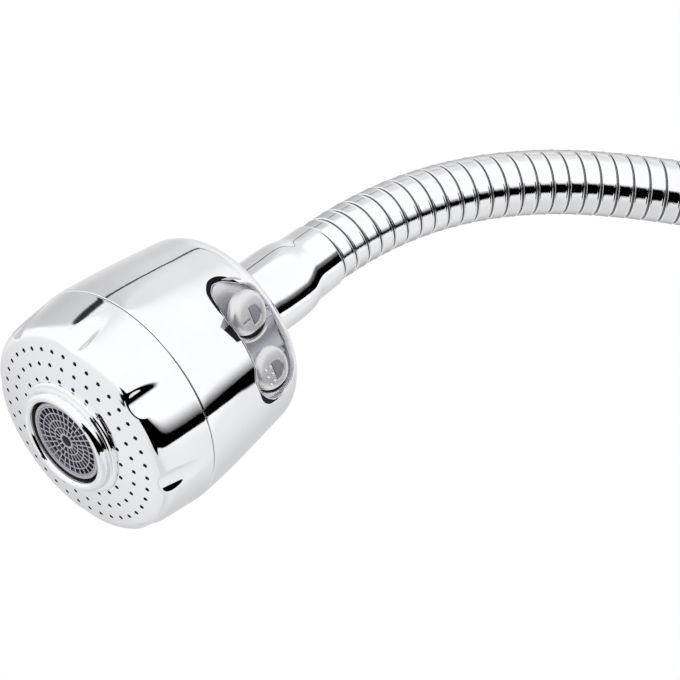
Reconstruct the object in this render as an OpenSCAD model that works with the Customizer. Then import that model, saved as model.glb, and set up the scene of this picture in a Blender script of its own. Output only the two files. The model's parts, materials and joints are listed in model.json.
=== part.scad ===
// Two-mode spray head on a stay-put metal gooseneck with a union-nut inlet.
//
// Frame: +Z up. The origin is the centre of the inlet nut's mouth. The nut
// opens towards +X, the gooseneck leaves it towards -X, runs straight, then
// arches down in the XZ plane to the spray head. All sizes in millimetres.
//
// Along the head, "w" is the distance behind the plane of the outer ring of
// spray holes. It grows towards the neck, and is the head's own +Z.

/* [Gooseneck] */
// Outer radius of the interlocked strip
hose_r = 7.9; // [7.8:0.05:8.1]
// Pitch of the bands along the hose
band_pitch = 4.283; // [4.2:0.01:4.4]
// Bands between two flex points
bands_per_seg = 6; // [6:1:8]
// Width of one band's outer land
band_land = 3.7; // [3.5:0.05:3.8]
// Free length left open at each flex point, so that the strip can bend there
flex_gap = 3.0; // [2.8:0.1:3.2]
// Outer radius of the soft inner tube
liner_r = 5.6; // [5.4:0.1:5.6]
// Inner radius of the soft inner tube
liner_bore_r = 4.5; // [4.45:0.05:4.7]
// Bend of the four segments next to the head, in degrees, wall side first
bend_6 = 6.4; // [2:0.2:12]
bend_7 = 12.5; // [4:0.5:16]
bend_8 = 14; // [4:0.5:16]
bend_9 = 12.6; // [4:0.2:16]

/* [Inlet] */
// Width across the flats of the union nut
nut_flats = 26; // [25:0.5:30]
// Bore of the nut's G1/2 thread, as the radius of its crests
nut_bore_r = 9.32; // [9.2:0.01:9.4]
// Threaded depth of the nut
nut_thread_l = 10; // [9:0.5:10]

/* [Head] */
// Distance from the plane of the outer holes back to the hose
neck_w = 79.9; // [79:0.1:84]
// Turn of the head in its swivel, from straight down to the rocker
head_turn = 56.6; // [0:0.1:360]
// Radius of the spray holes
hole_r = 0.5; // [0.4:0.05:0.6]
// Holes in the outer, middle and inner ring
holes_outer = 38; // [30:1:40]
holes_middle = 30; // [24:1:32]
holes_inner = 22; // [18:1:24]
// Number of scallops around the rim
scallops = 8; // [6:1:10]
// Radius of each scallop's cutter
scallop_r = 5.2; // [4.5:0.1:6]

/* [Mode rocker] */
// Centre of the rocker along the head
rocker_w = 39.7; // [39.5:0.1:39.9]
// Distance from the rocker's middle to the centre of each pad
pad_y = 7.1; // [6.9:0.05:7.2]
// Lean of the pads towards the neck, with the housing's taper
pad_lean = 8.2; // [7:0.1:9]
// Radius of a pad
pad_r = 5.6; // [5.4:0.05:5.7]
// Tilt of the rocker to each side of its middle
rocker_tilt = 7; // [5:0.5:7]

/* [Hidden] */
$fn = 96;

chrome = [0.80, 0.81, 0.83];
steel = [0.62, 0.63, 0.66];
brass = [0.78, 0.65, 0.35];
white_plastic = [0.88, 0.88, 0.86];
grey_plastic = [0.62, 0.61, 0.68];
rubber = [0.10, 0.10, 0.11];

segs = 9;
seg_l = band_pitch * bands_per_seg;
bends = [0, 0, 0, 0, 0, bend_6, bend_7, bend_8, bend_9];
hose_x = -45;                       // where the base ferrule ends and the hose starts
liner_gap = flex_gap * 0.8;

// Heading of the path at the wall end of segment k (1 to 9), in degrees below level
function head0(k) = k <= 1 ? 0 : head0(k - 1) + bends[k - 2];
// Radius of segment k's arc, or 0 where it is straight
function arc_r(k) = bends[k - 1] == 0 ? 0 : seg_l * 180 / (PI * bends[k - 1]);
// A point on segment k, at the fraction t from its wall end
function seg_pt(k, t) = let(a = head0(k), p = seg_start(k), r = arc_r(k), b = a + t * bends[k - 1])
    r == 0 ? p + t * seg_l * [-cos(a), 0, -sin(a)]
           : p + r * [-(sin(b) - sin(a)), 0, cos(b) - cos(a)];
function seg_start(k) = k <= 1 ? [hose_x, 0, 0] : seg_pt(k - 1, 1);
neck_pt = seg_pt(segs, 1);
head_dip = head0(segs) + bends[segs - 1];
face_pt = neck_pt + neck_w * [-cos(head_dip), 0, -sin(head_dip)];

// Local frame on the path: origin on segment k at t, +Z back towards the wall
module on_path(k, t) {
    a = head0(k) + t * bends[k - 1];
    translate(seg_pt(k, t)) rotate([0, 90 - a, 0]) children();
}
// Local frame of the head: +Z is w, the rocker is on +X
module on_head() {
    translate(face_pt) rotate([0, 90 - head_dip, 0]) rotate([0, 0, -head_turn]) children();
}
// Local frame of the neck: +Z is w, no turn
module on_neck() {
    translate(face_pt) rotate([0, 90 - head_dip, 0]) children();
}
// Local frame of the inlet: +Z is row +X
module on_inlet() { rotate([0, 90, 0]) children(); }

module ring(r_out, r_in, z0, z1) {
    translate([0, 0, z0]) difference() {
        cylinder(r = r_out, h = z1 - z0);
        translate([0, 0, -1]) cylinder(r = r_in, h = z1 - z0 + 2);
    }
}
module o_ring(r_mid, r_cord, z) {
    translate([0, 0, z]) rotate_extrude() translate([r_mid, 0]) circle(r = r_cord, $fn = 32);
}

// ---------- inlet ----------

module inlet_nut() {
    color(chrome) on_inlet() difference() {
        intersection() {
            translate([0, 0, -17.5]) cylinder(r = nut_flats / 2 / cos(30), h = 17.5, $fn = 6);
            rotate_extrude() polygon([[0, -17.5], [nut_flats / 2 - 0.6, -17.5], [nut_flats / 2 + 1.6, -16.2],
                [nut_flats / 2 + 1.6, -1.3], [nut_flats / 2 - 0.6, 0], [0, 0]]);
        }
        translate([0, 0, -nut_thread_l]) cylinder(r = nut_bore_r, h = nut_thread_l + 1);
        translate([0, 0, -14.7]) cylinder(r = nut_bore_r + 0.45, h = 14.7 - nut_thread_l + 0.01);
        translate([0, 0, -18.5]) cylinder(r = 7.7, h = 5);
    }
}
module inlet_washer() {
    color(rubber) on_inlet() ring(9.2, 6.6, -12, -nut_thread_l - 0.1);
}
module inlet_filter() {
    color(steel) on_inlet() translate([0, 0, -11.6]) difference() {
        union() {
            cylinder(r = 6.5, h = 0.6);
            ring(6.5, 5.6, 0, 1.2);
        }
        for (i = [0:5]) rotate(i * 60) translate([2.1, 0, -1]) cylinder(r = 0.6, h = 4, $fn = 24);
        for (i = [0:11]) rotate(i * 30 + 15) translate([4.2, 0, -1]) cylinder(r = 0.6, h = 4, $fn = 24);
        translate([0, 0, -1]) cylinder(r = 0.6, h = 4, $fn = 24);
    }
}

// ---------- base of the hose ----------

module base_tailpiece() {
    color(brass) on_inlet() rotate_extrude() polygon([[3.3, -12.1], [9.1, -12.1], [9.1, -14.5], [7.6, -14.5],
        [7.6, -30], [4.45, -30], [4.45, -33], [4.2, -33.4], [4.45, -36], [4.2, -36.4], [4.45, -39], [4.1, -42], [3.3, -42]]);
}
module base_ferrule() {
    color(chrome) on_inlet() rotate_extrude() polygon([[7.6, -18], [9.3, -18], [9.6, -18.3], [9.6, -32], [9.45, -34], [9.3, -35.6],
        [8.95, -36.9], [8.6, -38], [8.35, -39.2], [8.25, -44.8], [8.05, -45], [6.45, -45], [6.45, -30.2], [7.6, -30.2]]);
}
module base_crimp_ring() {
    color(steel) on_inlet() ring(6.3, liner_r + 0.05, -40, -32);
}

// ---------- hose ----------

// One turn of the strip as a closed band. Outer land, web and the inner land that hooks under its neighbour.
module band(z0, z1, hooked) {
    r = hose_r;
    rotate_extrude() polygon(hooked
        ? [[r - 1.35, -3.3], [r - 0.55, -3.3], [r - 0.55, -3], [r - 1, -3], [r - 1, 0], [r - 0.15, 0], [r, 0.2],
           [r, z1 - 0.2], [r - 0.15, z1], [r - 0.8, z1], [r - 0.8, z1 - 0.3], [r - 0.35, z1 - 0.3], [r - 0.35, 0.35], [r - 1.35, 0.35]]
        : [[r - 1.35, z0], [r - 0.15, z0], [r, z0 + 0.2], [r, z1 - 0.2], [r - 0.15, z1], [r - 0.8, z1], [r - 0.8, z1 - 0.3],
           [r - 0.35, z1 - 0.3], [r - 0.35, z0 + 0.35], [r - 1.35, z0 + 0.35]]);
}
module hose_bands(k) {
    color(chrome)
    for (j = [0:bands_per_seg - 1]) {
        first = j == 0;
        last = j == bands_per_seg - 1;
        z0 = first ? (k == segs ? 0.35 : flex_gap / 2) : 0;
        z1 = last && k > 1 ? band_pitch - flex_gap / 2 : (last ? band_land + 0.4 : band_land);
        mid = (z0 + z1) / 2;
        on_path(k, 1 - (j * band_pitch + mid) / seg_l) translate([0, 0, -mid]) band(z0, z1, !first);
    }
}
// The soft tube inside one segment. It is straight between two flex points. Its
// head end carries a ball that sits in the hollow end of the next one, so that
// the tube stays closed as it flexes. The last one follows the arc into the neck.
module hose_liner(k) {
    g = liner_gap / 2;
    r = arc_r(k);
    b = bends[k - 1];
    chord = r == 0 ? seg_l : 2 * r * sin(b / 2);
    color(rubber) difference() {
        union() {
            if (k < segs) translate(seg_pt(k, 1)) rotate([0, 90 - head0(k) - b / 2, 0]) {
                ring(liner_r, liner_bore_r, g, k == 1 ? chord + 14 : chord);
                difference() {
                    sphere(r = liner_r - 0.2);
                    translate([0, 0, -8]) cylinder(r = liner_bore_r, h = 16);
                }
            }
            if (k == segs) {
                a = head0(k);
                translate(seg_start(k) + r * [sin(a), 0, -cos(a)]) rotate([90, 0, 0]) rotate([0, 0, 90 + a])
                    rotate_extrude(angle = b) translate([r, 0])
                        difference() { circle(r = liner_r, $fn = 64); circle(r = liner_bore_r, $fn = 64); }
                on_path(segs, 1) ring(liner_r + 0.1, liner_bore_r + 0.1, -14, 0.4);
            }
        }
        if (k > 1) on_path(k, 0) sphere(r = liner_r + 0.3);
    }
}
module hose_bands_1() { hose_bands(1); }
module hose_bands_2() { hose_bands(2); }
module hose_bands_3() { hose_bands(3); }
module hose_bands_4() { hose_bands(4); }
module hose_bands_5() { hose_bands(5); }
module hose_bands_6() { hose_bands(6); }
module hose_bands_7() { hose_bands(7); }
module hose_bands_8() { hose_bands(8); }
module hose_bands_9() { hose_bands(9); }
module hose_liner_1() { hose_liner(1); }
module hose_liner_2() { hose_liner(2); }
module hose_liner_3() { hose_liner(3); }
module hose_liner_4() { hose_liner(4); }
module hose_liner_5() { hose_liner(5); }
module hose_liner_6() { hose_liner(6); }
module hose_liner_7() { hose_liner(7); }
module hose_liner_8() { hose_liner(8); }
module hose_liner_9() { hose_liner(9); }

// ---------- neck ----------

module neck_ferrule() {
    e = neck_w;
    color(chrome) on_neck() rotate_extrude() polygon([[6.5, 49.7], [9.35, 49.7], [9.6, 50], [9.6, 66], [9.5, 67.8], [9.35, 69.4], [9.15, 70.5],
        [8.85, 71.5], [8.55, 72.5], [8.38, 73.5], [8.35, 75], [8.22, e - 0.2], [8.05, e], [6.45, e], [6.45, 64.2], [6.5, 64.2]]);
}
module swivel_nipple() {
    color(brass) on_neck() rotate_extrude() polygon([[3.3, 37], [6.2, 37], [6.5, 37.4], [6.5, 38.8], [5.4, 38.8], [5.4, 40.4], [6.5, 40.4],
        [6.5, 41.6], [5.4, 41.6], [5.4, 43.2], [6.5, 43.2], [6.5, 45.1], [9.3, 45.1], [9.3, 46.6], [6.5, 46.6], [6.5, 64],
        [4.45, 64], [4.45, 67], [4.2, 67.4], [4.45, 70], [4.2, 70.4], [4.45, 73], [4.1, 76], [3.3, 76]]);
}
module nipple_o_rings() {
    color(rubber) on_neck() { o_ring(5.98, 0.55, 39.6); o_ring(5.98, 0.55, 42.4); }
}
module neck_crimp_ring() {
    color(steel) on_neck() ring(6.38, liner_r + 0.15, 66.5, 74.5);
}

// ---------- head ----------

module hole_ring(n, r, phase) {
    for (i = [0:n - 1]) rotate(phase + i * 360 / n) translate([r, 0, -4]) cylinder(r = hole_r, h = 9, $fn = 20);
}
module front_housing() {
    color(chrome) on_head() difference() {
        rotate_extrude($fn = 180) polygon([
            [12.9, -1.15], [14.6, -1.15], [17, -0.85], [19.5, -0.48], [22.2, 0], [24, 0.38], [25.2, 0.8], [25.9, 1.2], [26.45, 1.8],
            [26.75, 2.6], [27, 3.6], [27.2, 5], [27.4, 7.7], [27.65, 11], [28, 15.5],
            [25.7, 15.5], [25.7, 8], [25, 8], [25, 3.6], [24, 2.6], [22.2, 1.9], [19.5, 1.3], [17, 0.9], [14.6, 0.65], [12.9, 0.65]]);
        hole_ring(holes_outer, 22.2, 3.44);
        hole_ring(holes_middle, 18.67, 7.36);
        hole_ring(holes_inner, 15.12, 13.4);
        for (i = [0:scallops - 1]) rotate(i * 360 / scallops - 12.7)
            translate([29.9, 0, -1]) rotate([0, 14, 0]) translate([0, 0, -6]) cylinder(r = scallop_r, h = 26, $fn = 64);
    }
}
module housing_seal() {
    color(rubber) on_head() o_ring(25.07, 0.55, 13);
}

// Obround prism along X, from x0 outwards: y0 and y1 are its ends, hw its half width along w
module slot_x(x0, len, y0, y1, hw) {
    translate([x0, 0, rocker_w]) rotate([0, 90, 0]) {
        translate([0, y0 + hw, 0]) cylinder(r = hw, h = len);
        translate([0, y1 - hw, 0]) cylinder(r = hw, h = len);
        translate([-hw, y0 + hw, 0]) cube([2 * hw, y1 - y0 - 2 * hw, len]);
    }
}
module rear_solid() {
    rotate_extrude($fn = 180) polygon([[0, 10.9], [25.5, 10.9], [25.5, 15.65], [28, 15.65], [27.97, 16.6], [27.85, 18.5], [27.6, 21.6], [27.28, 24.7],
        [26.9, 28], [26.5, 31.2], [26.08, 34.4], [25.65, 37.4], [25.2, 40.7], [24.7, 43.9], [24.45, 45.3], [23.95, 46.6],
        [23.1, 47.9], [22.2, 48.6], [21.2, 49], [19, 49.3], [11.5, 49.4], [0, 49.4]]);
}
module rear_cavity() {
    rotate_extrude() polygon([[0, 10], [23.6, 10], [23.6, 17.2], [25, 19.5], [24.2, 30], [23.2, 38], [22, 44.6],
        [21.2, 46.4], [19.5, 47.5], [0, 47.5]]);
}
module rear_housing() {
    color(chrome) on_head() difference() {
        union() {
            difference() { rear_solid(); rear_cavity(); }
            // block that carries the rocker's pocket
            intersection() {
                rear_solid();
                translate([17.8, -19, 30.6]) cube([12, 38, 17.6]);
            }
        }
        // pocket for the rocker, which runs out at both ends of its flat floor
        slot_x(19.1, 16, -16, 14.4, 6.8);
        // way for the rocker's stem
        slot_x(10, 12, -3.2, 3.2, 1.8);
        // seat for the pin
        translate([21.9, 0, 31.4]) cylinder(r = 1.02, h = 16.4, $fn = 32);
        // groove for the housing seal
        translate([0, 0, 12.3]) difference() { cylinder(r = 26, h = 1.4); translate([0, 0, -1]) cylinder(r = 24.5, h = 4); }
        // way for the neck
        translate([0, 0, 40]) cylinder(r = 7, h = 12);
    }
}
module rocker_pin() {
    color(steel) on_head() translate([21.9, 0, 31.5]) cylinder(r = 1, h = 16.2, $fn = 32);
}
module swivel_washer() {
    color(white_plastic) on_head() ring(9.3, 6.7, 46.7, 47.45);
}
module manifold_plate() {
    color(white_plastic) on_head() difference() {
        union() {
            rotate_extrude() polygon([[0, 8.4], [24.8, 8.4], [24.8, 8.1], [25.6, 8.1], [25.6, 10.8], [0, 10.8]]);
            ring(14.4, 12.75, 1, 8.6);
        }
        translate([0, 0, 0]) cylinder(r = 6, h = 12);
        translate([13.6, 5, 0]) cylinder(r = 1.2, h = 12, $fn = 32);
        for (i = [0:3]) rotate(i * 90) translate([17.5, 0, 0]) cylinder(r = 1.55, h = 12, $fn = 32);
    }
}
module diverter_body() {
    color(white_plastic) on_head() difference() {
        union() {
            translate([0, 0, 10.9]) cylinder(r = 23.3, h = 2.6);
            translate([0, 0, 10.9]) cylinder(r = 20.5, h = 34);
        }
        // flat under the rocker's pocket
        translate([17.5, -25, 29.6]) cube([10, 50, 20]);
        // socket for the nipple, and the way in behind it
        translate([0, 0, 36.5]) cylinder(r = 6.55, h = 10);
        translate([0, 0, 29]) cylinder(r = 3.2, h = 9);
        translate([0, 0, 31.5]) rotate([0, 90, atan2(8, 13.6)]) cylinder(r = 1.2, h = 15.8, $fn = 32);
        translate([13.6, 8, 30.6]) cylinder(r = 1, h = 9, $fn = 32);
        // bore of the spool
        translate([13.6, 0, rocker_w]) rotate([90, 0, 0]) translate([0, 0, -25]) cylinder(r = 3.25, h = 50, $fn = 64);
        // ways forward: to the spray chamber and to the centre
        translate([13.6, 5, 10]) cylinder(r = 1, h = rocker_w - 10, $fn = 32);
        translate([13.6, 11, 10]) cylinder(r = 1, h = rocker_w - 10, $fn = 32);
        rotate(atan2(11, 13.6)) translate([0, -1.5, 10]) cube([17.5, 3, 3]);
        translate([0, 0, 10]) cylinder(r = 6, h = 3);
        // way for the rocker's stem
        slot_x(13.6, 10, -2.8, 2.8, 1.7);
        for (i = [0:3]) rotate(i * 90) translate([17.5, 0, 10]) cylinder(r = 1.3, h = 10.2, $fn = 32);
    }
}
module body_screws() {
    color(steel) on_head() for (i = [0:3]) rotate(i * 90) translate([17.5, 0, 0]) {
        difference() {
            translate([0, 0, 6.7]) cylinder(r = 2.6, h = 1.7, $fn = 48);
            translate([0, 0, 6]) cylinder(r = 1.2, h = 1.7, $fn = 6);
        }
        translate([0, 0, 8.4]) cylinder(r = 1.3, h = 11, $fn = 32);
    }
}
module spool_end_cap() {
    color(white_plastic) on_head() translate([13.6, 14.4, rocker_w]) rotate([-90, 0, 0]) cylinder(r = 3.25, h = 0.9, $fn = 64);
}

// ---------- aerator ----------

module aerator_collar() {
    color(chrome) on_head() rotate_extrude($fn = 180) polygon([
        [10.6, -3.7], [10.75, -4.25], [11.2, -4.6], [11.8, -4.65], [12.3, -4.45], [12.75, -3.95], [12.95, -3.4], [13, -2.45], [13.2, -2.2],
        [13.9, -2.1], [14.3, -1.9], [14.45, -1.5], [14.45, -1.15], [12.6, -1.15], [12.6, 5.8], [10.6, 5.8]]);
}
module aerator_body() {
    color(grey_plastic) on_head() rotate_extrude($fn = 128) polygon([[9.15, -3.35], [9.9, -3.35], [10, -3.15], [10, 1], [10.5, 1], [10.5, 5.6],
        [8.4, 5.6], [8.4, -1.9], [9.15, -1.9]]);
}
module grid_ring(r_in, r_out, n, rib) {
    ring(r_out, r_out - 0.28, 0, 1.3);
    for (i = [0:n - 1]) rotate(i * 360 / n) translate([r_in - 0.1, -rib / 2, 0.1]) cube([r_out - r_in - 0.1, rib, 1.1]);
}
module aerator_grid() {
    color(grey_plastic) on_head() translate([0, 0, -3.25]) union() {
        ring(9.1, 8.75, 0, 1.3);
        difference() {
            union() {
                grid_ring(7.4, 9, 30, 0.34);
                grid_ring(5.55, 7.4, 30, 0.32);
                grid_ring(3.75, 5.55, 24, 0.32);
                grid_ring(1.95, 3.75, 15, 0.32);
                cylinder(r = 1.98, h = 1.3, $fn = 48);
            }
            translate([0, 0, -1]) cylinder(r = 1.45, h = 4, $fn = 48);
        }
    }
}
module aerator_screen() {
    color(steel) on_head() translate([0, 0, 3]) difference() {
        cylinder(r = 8.3, h = 0.5);
        for (q = [[6, 1.6], [12, 3.4], [18, 5.2], [24, 7]]) for (i = [0:q[0] - 1])
            rotate(i * 360 / q[0]) translate([q[1], 0, -1]) cylinder(r = 0.5, h = 3, $fn = 20);
    }
}
module aerator_washer() {
    color(rubber) on_head() ring(10.5, 8, 5.9, 8.3);
}

// ---------- mode rocker and spool ----------

module on_rocker() {
    translate([21.9, 0, 0]) rotate([0, 0, rocker_tilt]) translate([-21.9, 0, 0]) children();
}
module mode_rocker() {
    color(chrome) on_head() on_rocker() difference() {
        union() {
            // two round pads with broad chamfers, leaning with the taper
            for (s = [-1, 1]) translate([21.9, s * pad_y, rocker_w]) rotate([0, 90 - pad_lean, 0]) {
                translate([0, 0, -0.35]) cylinder(r = pad_r, h = 1.75);
                translate([0, 0, 1.4]) cylinder(r1 = pad_r, r2 = pad_r - 0.45, h = 0.6);
                translate([0, 0, 2]) cylinder(r1 = pad_r - 0.45, r2 = pad_r - 1.4, h = 0.35);
            }
            // saddle between them
            translate([21.7, -6, rocker_w - 5.3]) cube([1.6, 12, 10.6]);
            // hub on the pin, stem and ball
            translate([21.9, 0, rocker_w - 5.3]) cylinder(r = 1.5, h = 10.6, $fn = 48);
            translate([13.6, 0, rocker_w]) rotate([0, 90, 0]) cylinder(r = 0.8, h = 8, $fn = 32);
            translate([13.6, 0, rocker_w]) sphere(r = 1.2, $fn = 32);
        }
        translate([21.9, 0, rocker_w - 8]) cylinder(r = 1.06, h = 16, $fn = 32);
    }
}
// The spool lies across the head; y0 is where its middle is in this mode
module on_spool() {
    y0 = -8.3 * sin(rocker_tilt);
    translate([13.6, y0, rocker_w]) rotate([-90, 0, 0]) children();
}
module diverter_spool() {
    color(white_plastic) on_head() on_spool() difference() {
        rotate_extrude($fn = 64) polygon([[0, -5.5], [3.2, -5.5], [3.2, -4.9], [2.5, -4.9], [2.5, -3.7], [3.2, -3.7], [3.2, 2.9], [2.5, 2.9], [2.5, 4.1],
            [3.2, 4.1], [3.2, 5], [1.5, 5], [1.5, 11], [3.2, 11], [3.2, 11.4], [2.5, 11.4], [2.5, 12.6], [3.2, 12.6], [3.2, 13.1], [0, 13.1]]);
        rotate([0, 90, 0]) translate([0, 0, -1.6]) cylinder(r = 1.36, h = 8, $fn = 48);
    }
}
module spool_o_rings() {
    color(rubber) on_head() on_spool() { o_ring(2.87, 0.34, -4.3); o_ring(2.87, 0.34, 3.5); o_ring(2.87, 0.34, 12); }
}

inlet_nut();
inlet_washer();
inlet_filter();
base_tailpiece();
base_ferrule();
base_crimp_ring();
hose_bands_1();
hose_bands_2();
hose_bands_3();
hose_bands_4();
hose_bands_5();
hose_bands_6();
hose_bands_7();
hose_bands_8();
hose_bands_9();
hose_liner_1();
hose_liner_2();
hose_liner_3();
hose_liner_4();
hose_liner_5();
hose_liner_6();
hose_liner_7();
hose_liner_8();
hose_liner_9();
neck_ferrule();
swivel_nipple();
nipple_o_rings();
neck_crimp_ring();
swivel_washer();
rear_housing();
front_housing();
housing_seal();
manifold_plate();
diverter_body();
body_screws();
spool_end_cap();
aerator_collar();
aerator_body();
aerator_grid();
aerator_screen();
aerator_washer();
rocker_pin();
mode_rocker();
diverter_spool();
spool_o_rings();
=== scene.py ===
import bpy
import json
import math
import numpy as np
from mathutils import Matrix, Vector
from mathutils.geometry import delaunay_2d_cdt


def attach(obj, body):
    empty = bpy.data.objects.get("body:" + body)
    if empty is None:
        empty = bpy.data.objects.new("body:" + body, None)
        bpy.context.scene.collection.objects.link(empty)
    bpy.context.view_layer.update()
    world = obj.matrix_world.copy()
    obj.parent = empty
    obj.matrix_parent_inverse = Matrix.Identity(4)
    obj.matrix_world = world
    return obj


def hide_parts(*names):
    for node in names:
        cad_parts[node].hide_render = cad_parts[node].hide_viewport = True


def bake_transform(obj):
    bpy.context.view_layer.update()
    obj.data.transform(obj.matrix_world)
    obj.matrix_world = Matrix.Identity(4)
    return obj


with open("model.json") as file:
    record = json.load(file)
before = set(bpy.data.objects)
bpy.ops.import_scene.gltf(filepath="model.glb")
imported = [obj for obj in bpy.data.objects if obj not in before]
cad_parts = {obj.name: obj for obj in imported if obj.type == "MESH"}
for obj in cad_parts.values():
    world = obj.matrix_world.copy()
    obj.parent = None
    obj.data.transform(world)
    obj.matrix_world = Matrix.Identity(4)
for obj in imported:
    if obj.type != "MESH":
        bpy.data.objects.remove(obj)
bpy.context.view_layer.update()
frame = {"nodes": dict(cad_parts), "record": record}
NODES = frame["nodes"]

# ------------------------------------------------------------------ frames
# The same path and head frame as the CAD source, in millimetres.
PITCH = 4.283
SEG_L = PITCH * 6
BENDS = [0, 0, 0, 0, 0, 6.4, 12.5, 14, 12.6]
HOSE_X = -45.0
DIP = math.radians(sum(BENDS))
NECK_W = 79.9


def heading(k):
    return math.radians(sum(BENDS[: k - 1]))


def seg_point(k, t):
    """A point on segment k (1 at the wall), at the fraction t from its wall end."""
    a, bend = heading(k), math.radians(BENDS[k - 1])
    p = np.array([HOSE_X, 0.0, 0.0]) if k == 1 else seg_point(k - 1, 1)
    if bend == 0:
        return p + t * SEG_L * np.array([-math.cos(a), 0, -math.sin(a)])
    r, b = SEG_L / bend, a + t * bend
    return p + r * np.array([-(math.sin(b) - math.sin(a)), 0, math.cos(b) - math.cos(a)])


NECK_PT = seg_point(9, 1)
FACE_PT = NECK_PT + NECK_W * np.array([-math.cos(DIP), 0, -math.sin(DIP)])
ZH = np.array([math.cos(DIP), 0, math.sin(DIP)])
X0 = np.array([math.sin(DIP), 0, -math.cos(DIP)])
Y0 = np.array([0, 1.0, 0])
TURN = math.radians(-56.6)
XH = X0 * math.cos(TURN) + Y0 * math.sin(TURN)
YH = -X0 * math.sin(TURN) + Y0 * math.cos(TURN)
HEAD = (np.stack([XH, YH, ZH], 1), FACE_PT)      # head: rocker on +X, w on +Z
NECK = (np.stack([X0, Y0, ZH], 1), FACE_PT)
INLET = (np.array([[0.0, 0, 1], [0, 1, 0], [-1, 0, 0]]), np.zeros(3))   # local z is row +X
HOSE_L = 9 * SEG_L


def path(s):
    """Points, tangents (towards the wall) and local x axes at the lengths s behind the neck."""
    s = np.asarray(s, float)
    k = np.clip(9 - np.floor(s / SEG_L).astype(int), 1, 9)
    t = 1 - (s - (9 - k) * SEG_L) / SEG_L
    P = np.zeros(s.shape + (3,))
    A = np.zeros(s.shape)
    for kk in range(1, 10):
        m = k == kk
        if not m.any():
            continue
        a, bend = heading(kk), math.radians(BENDS[kk - 1])
        start = seg_point(kk, 0)
        tt = t[m]
        b = a + tt * bend
        if bend == 0:
            d = tt[:, None] * SEG_L * np.array([-math.cos(a), 0, -math.sin(a)])
        else:
            r = SEG_L / bend
            d = r * np.stack([-(np.sin(b) - math.sin(a)), 0 * b, np.cos(b) - math.cos(a)], -1)
        P[m] = start + d
        A[m] = b
    T = np.stack([np.cos(A), 0 * A, np.sin(A)], -1)
    X = np.stack([np.sin(A), 0 * A, -np.cos(A)], -1)
    return P, T, X


# ------------------------------------------------------------------ mesh helpers
def bspline(points, n):
    P = np.array(points, float)
    P = np.vstack([2 * P[0] - P[1], P, 2 * P[-1] - P[-2]])
    t = np.linspace(0, len(P) - 3 - 1e-9, n)
    i = t.astype(int)
    u = (t - i)[:, None]
    return ((1 - u) ** 3 * P[i] + (3 * u ** 3 - 6 * u ** 2 + 4) * P[i + 1]
            + (-3 * u ** 3 + 3 * u ** 2 + 3 * u + 1) * P[i + 2] + u ** 3 * P[i + 3]) / 6


def resample(p, step):
    """Points along the curve p, about step(i) apart, where step is a number or a function of the length."""
    d = np.concatenate([[0], np.cumsum(np.linalg.norm(np.diff(p, axis=0), axis=1))])
    at, s = [0.0], 0.0
    while True:
        s += step(s) if callable(step) else step
        if s >= d[-1] - 1e-6:
            break
        at.append(s)
    at.append(d[-1])
    at = np.array(at)
    return np.stack([np.interp(at, d, p[:, i]) for i in range(p.shape[1])], 1)


def profile_normals(p):
    """Unit normals (in r, z) of a profile, on its left when walking along it with z up and r right."""
    d = np.gradient(p, axis=0)
    n = np.stack([d[:, 1], -d[:, 0]], 1)
    return n / np.maximum(np.linalg.norm(n, axis=1), 1e-12)[:, None]


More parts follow.
